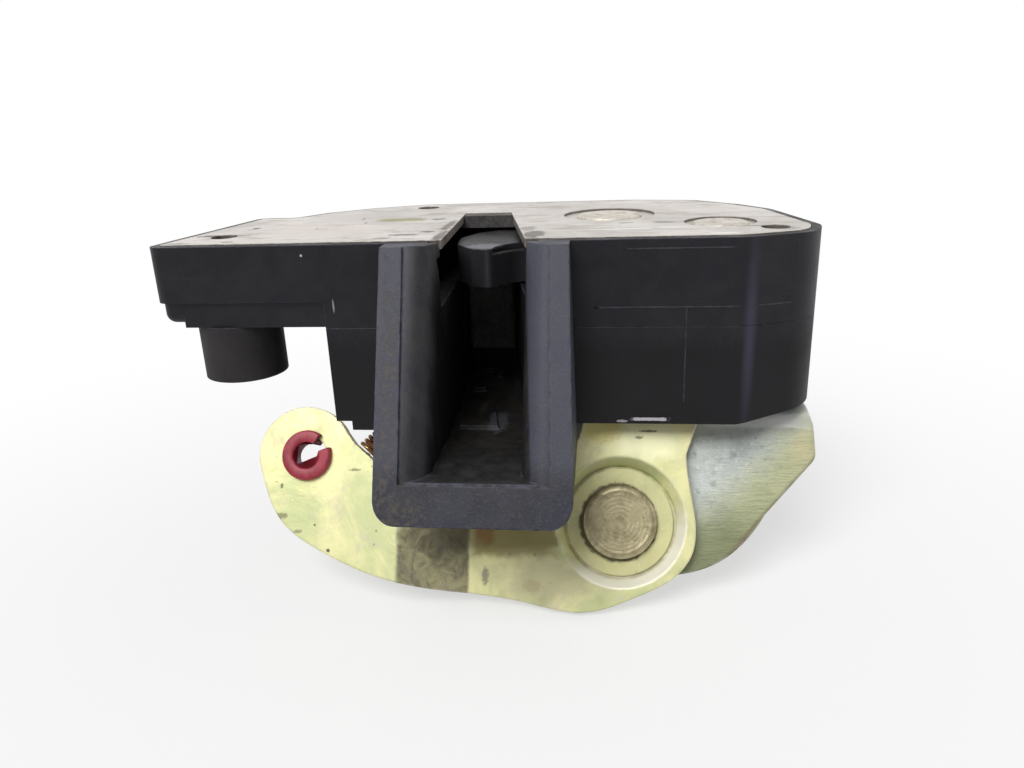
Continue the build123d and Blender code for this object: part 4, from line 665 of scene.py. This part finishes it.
# Painted dark reflections in bands across the jog, painted shade and the frame's painted shadow above them, a
# brown stain beside them that is partly painted shadow, and a duller belt towards the pivot.
jog_reflection = sums(tree, "MULTIPLY", ramp(tree, run, -18.2, -17.4), ramp(tree, run, -4.0, -4.8))
jog_reflection = sums(tree, "MULTIPLY", jog_reflection, ramp(tree, on_lever["Y"], -12.0, -20.0))
reflection_streaks = ramp(tree, speckle(tree, metres, 330.0, 5.0, 0.7, 1.2), 0.35, 0.7, 0.6, 0.92)
colour = lay(tree, colour, jog_reflection, reflection_streaks, tint("615a4c"))
# Painted shade: darker still at the top of the jog, under the throat.
darker = sums(tree, "MULTIPLY", ramp(tree, run, -12.2, -11.4), ramp(tree, run, -4.0, -4.8))
darker = sums(tree, "MULTIPLY", darker, ramp(tree, on_lever["Y"], -30.5, -25.0))
colour = lay(tree, colour, darker, 0.45, tint("4f463a"))
# Painted shadow of the throat frame on the lever below its sill.
frame_shadow = mark(tree, slope, (-3.0, -21.0, 0), (15.2, 6.2, 9), 1.0, 0.35, 0.3, 0.4)
colour = lay(tree, colour, frame_shadow, 0.42, tint("4a4335"))
# An olive-brown mark that is partly a real stain and partly painted shadow of the throat frame.
stain_and_shadow = mark(tree, slope, (4.0, -22.4, 0), (9.5, 5.4, 9), 1.0, 0.3, 0.5, 0.4)
colour = lay(tree, colour, stain_and_shadow, 0.75, tint("968853"))
orange = mark(tree, slope, (-1.4, -22.5, 0), (2.6, 3.4, 9), 0.0, 0.6, 0.9, 0.6)
colour = lay(tree, colour, orange, 0.6, tint("8f5f30"))
belt = mark(tree, slope, (11.0, -31.0, 0), (14.0, 7.0, 9), 0.0, 0.7, 1.0, 0.25)
colour = lay(tree, colour, belt, 0.7, tint("b3ad8c"))
# Painted highlight: a pale pool of light above the dish.
painted_light_above_dish = mark(tree, slope, (28.5, -5.5, 0), (10.0, 4.5, 9), 0.3, 0.7, 1.0, 0.3)
colour = lay(tree, colour, painted_light_above_dish, 0.65, tint("f8f7cf"))
# The dish's side: a painted highlight in cream at the lower right, where it faces the light, and painted
# shade in green-grey at the upper left.
pivot = (23.7, -20.1)
flattened = (1, 1, 0)
from_pivot = vectors(tree, "MULTIPLY", vectors(tree, "SUBTRACT", slope, pivot + (0,)), flattened)
pivot_distance = vectors(tree, "LENGTH", from_pivot)
dish_side = sums(tree, "MULTIPLY", ramp(tree, pivot_distance, 9.9, 10.4),
                 ramp(tree, pivot_distance, 12.5, 11.8))
lower_right = vectors(tree, "DOT_PRODUCT", from_pivot, (0.05, -0.09, 0))
colour = lay(tree, colour, dish_side, ramp(tree, lower_right, 0.1, 0.7), tint("fbf8e6"))
colour = lay(tree, colour, dish_side, ramp(tree, lower_right, -0.1, -0.8, 0.0, 0.6), tint("8f9358"))
grazes = [((-1.2, -30.6, 0), (0.8, 2.0, 9), tint("8e8678"), 0.8),
          ((-40.6, -20.4, 0), (1.6, 0.8, 9), tint("77684f"), 0.7),
          ((-37.2, -23.3, 0), (1.2, 0.5, 9), tint("77684f"), 0.6),
          ((-31.0, -26.7, 0), (0.5, 0.45, 9), tint("4d4334"), 0.9),
          ((-33.9, -22.0, 0), (0.3, 0.3, 9), tint("4d4334"), 0.9),
          ((-40.9, -14.7, 0), (0.4, 0.6, 9), tint("5d5140"), 0.8),
          ((-26.5, -11.4, 0), (1.5, 0.35, 9), tint("6b5d44"), 0.7),
          ((7.5, -32.2, 0), (2.2, 1.6, 9), tint("a08a64"), 0.35),
          ((29.0, -3.2, 0), (2.0, 0.3, 9), tint("6a604c"), 0.85),
          ((27.2, -4.4, 0), (1.0, 0.35, 9), tint("6a604c"), 0.7),
          ((20.5, -3.0, 0), (5.0, 3.0, 9), tint("d8c04c"), 0.4)]
for centre, half, of_graze, strength in grazes:
    here = mark(tree, slope, centre, half, 0.0, 0.5, 1.2, 1.6)
    colour = lay(tree, colour, here, strength, of_graze)
dirt = use(tree, settled_dirt, Position=metres, Scale=240.0, Cover=0.3, Corner=0.002)
colour = lay(tree, colour, dirt["Grime"], 0.85, tint("4b4330"))
colour = lay(tree, colour, edges["Wear"], 0.65, tint("f0dfda"))
skin(tree, colour, coat["Dullness"], ramp(tree, speckle(tree, metres, 90.0, 3.0), 0.3, 0.7, 0.3, 0.5),
     Strength=0.6, Distance=0.00005, Height=coat["Height"], Normal=edges["Normal"])
wear_coat("release_lever", lever_chromate)

# ---- lever's washer and rivet -------------------------------------------------------------------------
# A flat washer in deeper yellow lies in the lever's dish, and a scuffed steel rivet holds both to the back
# plate. Grease has gathered in the gap round the rivet's head.
washer_chromate, tree, metres, millimetres = finish("washer_chromate")
edges = use(tree, rubbed_edge, Position=metres, Radius=0.0003, Breaks=500.0)
coat = use(tree, yellow_chromate, Position=metres, Pale=tint("d9d59d"), Green=tint("bfc190"),
           Worn=tint("c9c2a4"), Rust=0.4)
slope = use(tree, slope_place, Place=millimetres)["Place"]
grease_centre = (23.4, -20.2, 0)
spread = vectors(tree, "MULTIPLY", vectors(tree, "SUBTRACT", slope, grease_centre), flattened)
waver = sums(tree, "MULTIPLY", speckle(tree, metres, 900.0, 4.0), 1.3)
greasy = ramp(tree, sums(tree, "SUBTRACT", vectors(tree, "LENGTH", spread), waver), 6.9, 6.3)
colour = lay(tree, coat["Colour"], greasy, 0.9, tint("4a4029"))
colour = lay(tree, colour, edges["Wear"], 0.5, tint("f2eec6"))
skin(tree, colour, coat["Dullness"], ramp(tree, waver, 0.4, 0.9, 0.3, 0.5),
     Strength=0.5, Distance=0.00005, Height=coat["Height"], Normal=edges["Normal"])
wear_coat("pivot_washer", washer_chromate)


def turned_on_slope(name, profile, centre, steps=96, start=0.0, end=2 * math.pi):
    """A turned shape: each profile point (radius, height) goes round an axis square to the lever, through
    middle + radius (right cos(a) + up sin(a)) + height out, from angle start to end."""
    profile = np.array(profile, dtype=float)
    whole = abs(end - start - 2 * math.pi) < 1e-6
    angle = np.linspace(start, end, steps, endpoint=not whole)[:, None]
    middle = slope_origin + centre[0] * slope_right + centre[1] * slope_up
    radius, height = profile[None, :, 0, None], profile[None, :, 1, None]
    ring = np.cos(angle)[..., None] * slope_right + np.sin(angle)[..., None] * slope_up
    points = middle + ring * radius + slope_out * height
    return grid_skin(name, points / 1000.0, round_u=whole)


def rounded_profile(corners, roundings, steps=5):
    """A profile with rounded corners. Each corner c becomes the curve (1-s)^2 a + 2s(1-s) c + s^2 b, where a
    and b are set back from it along its two sides."""
    corners = np.array(corners, dtype=float)
    made = [corners[0]]
    for before, here, after, back in zip(corners[:-2], corners[1:-1], corners[2:], roundings):
        first = here + (before - here) / np.linalg.norm(before - here) * back
        last = here + (after - here) / np.linalg.norm(after - here) * back
        share = np.linspace(0.0, 1.0, steps)[:, None]
        made.extend((1 - share) ** 2 * first + 2 * share * (1 - share) * here + share ** 2 * last)
    made.append(corners[-1])
    return np.array(made)


shank_r, crown_r, rim_r, head_r, tail_r = 4.0, 5.2, 5.9, 6.7, 6.3
rivet_low, rivet_top, rivet_back, tail_end = -0.7, 1.3, -5.6, -7.1
rivet_profile = rounded_profile([(0.0, rivet_top - 0.12), (crown_r, rivet_top - 0.05), (rim_r, rivet_top),
                                 (head_r, rivet_top - 0.35), (head_r, rivet_low), (shank_r, rivet_low),
                                 (shank_r, rivet_back), (tail_r, rivet_back), (tail_r, tail_end),
                                 (0.0, tail_end)],
                                [0.5, 0.2, 0.3, 0.15, 0.2, 0.2, 0.2, 0.6])
rivet = turned_on_slope("rivet_turned", rivet_profile, pivot)
rivet.data.materials.append(turned_steel("rivet_steel_scuffed", tint("b8ae8b"), tint("8f8566"),
                                         tuple(slope_origin + pivot[0] * slope_right + pivot[1] * slope_up)))
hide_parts("lever_rivet")
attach(rivet, "housing")

# ---- rod clip -----------------------------------------------------------------------------------------
# A split collar in dark crimson nylon, pressed into the lever's end. It grips the handle's rod, and its lips
# are a little chewed.
clip_nylon, tree, metres, _ = finish("clip_nylon")
edges = use(tree, rubbed_edge, Position=metres, Radius=0.0003, Breaks=900.0)
tone = speckle(tree, metres, 300.0, 5.0, 0.6, 0.5)
nylon = blend(tree, ramp(tree, tone, 0.35, 0.68), tint("8f1f30"), tint("b03a4c"))
nylon = lay(tree, nylon, edges["Wear"], 0.5, tint("d98a92"))
dirt = use(tree, settled_dirt, Position=metres, Scale=400.0, Cover=0.35, Corner=0.0015)
nylon = lay(tree, nylon, dirt["Grime"], 0.6, tint("4a1018"))
shader = skin(tree, nylon, ramp(tree, tone, 0.3, 0.7, 0.34, 0.5),
              Strength=0.4, Distance=0.00006, Height=tone, Normal=edges["Normal"])
shader.inputs["Subsurface Weight"].default_value = 0.15
shader.inputs["Subsurface Radius"].default_value = (0.001, 0.0003, 0.0003)
clip_centre = (-36.1, -8.8)
bore_r, waist_r, flange_r, lip_r = 2.5, 3.8, 4.4, 4.8
clip_low, flange_top, lip_low, seam, clip_top = -0.6, 0.5, 2.5, 3.0, 3.7
half_gap, wall_middle = 1.2, 3.7
split_middle, split_half = math.radians(38.0), math.asin(half_gap / wall_middle)
clip_profile = rounded_profile([(bore_r, seam), (bore_r, clip_low), (flange_r, clip_low),
                                (flange_r, flange_top), (waist_r, flange_top), (waist_r, lip_low),
                                (lip_r, lip_low), (lip_r, clip_top), (bore_r, clip_top), (bore_r, seam)],
                               [0.3, 0.4, 0.2, 0.1, 0.1, 0.2, 0.5, 0.5], 4)[:-1]
clip = turned_on_slope("clip_collar", clip_profile, clip_centre, 72, split_middle + split_half,
                       split_middle - split_half + 2 * math.pi)
clip.data.materials.append(clip_nylon)
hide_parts("rod_clip")
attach(clip, "lever")

# ---- lock drive ---------------------------------------------------------------------------------------
# A small drawn motor can with a brass worm, a natural nylon wheel and the lock's plunger, with two brass
# contact strips down to the socket.
motor_steel, tree, metres, _ = finish("motor_steel")
drawn = speckle(tree, vectors(tree, "MULTIPLY", metres, (1.0, 0.08, 1.0)), 2200.0, 3.0, 0.5)
skin(tree, blend(tree, ramp(tree, drawn, 0.35, 0.65), tint("9c9c9c"), tint("c4c4c2")),
     ramp(tree, drawn, 0.3, 0.7, 0.28, 0.42), ramp(tree, drawn, 0.3, 0.7, 0.9, 1.0))
wear_coat("motor_case", motor_steel)
for pin in ("motor_shaft", "wheel_axle"):
    wear_coat(pin, clean_wire)
wear_coat("motor_cap", socket_plastic)
brass, tree, metres, _ = finish("contact_brass")
tarnish = speckle(tree, metres, 420.0, 5.0, 0.65)
skin(tree, blend(tree, ramp(tree, tarnish, 0.4, 0.65), tint("d9b864"), tint("a5813f")),
     ramp(tree, tarnish, 0.3, 0.7, 0.25, 0.45), ramp(tree, tarnish, 0.3, 0.7, 1.0, 0.85))
for brass_piece in ("worm", "contact_strips"):
    wear_coat(brass_piece, brass)
gear_nylon, tree, metres, _ = finish("gear_nylon")
flow = speckle(tree, metres, 160.0, 4.0, 0.6, 0.6)
skin(tree, blend(tree, ramp(tree, flow, 0.35, 0.65), tint("e4e0d2"), tint("cfc9b6")),
     ramp(tree, flow, 0.3, 0.7, 0.38, 0.52),
     Strength=0.3, Distance=0.00005, Height=speckle(tree, metres, 3000.0))
for nylon_piece in ("worm_wheel", "lock_plunger"):
    wear_coat(nylon_piece, gear_nylon)
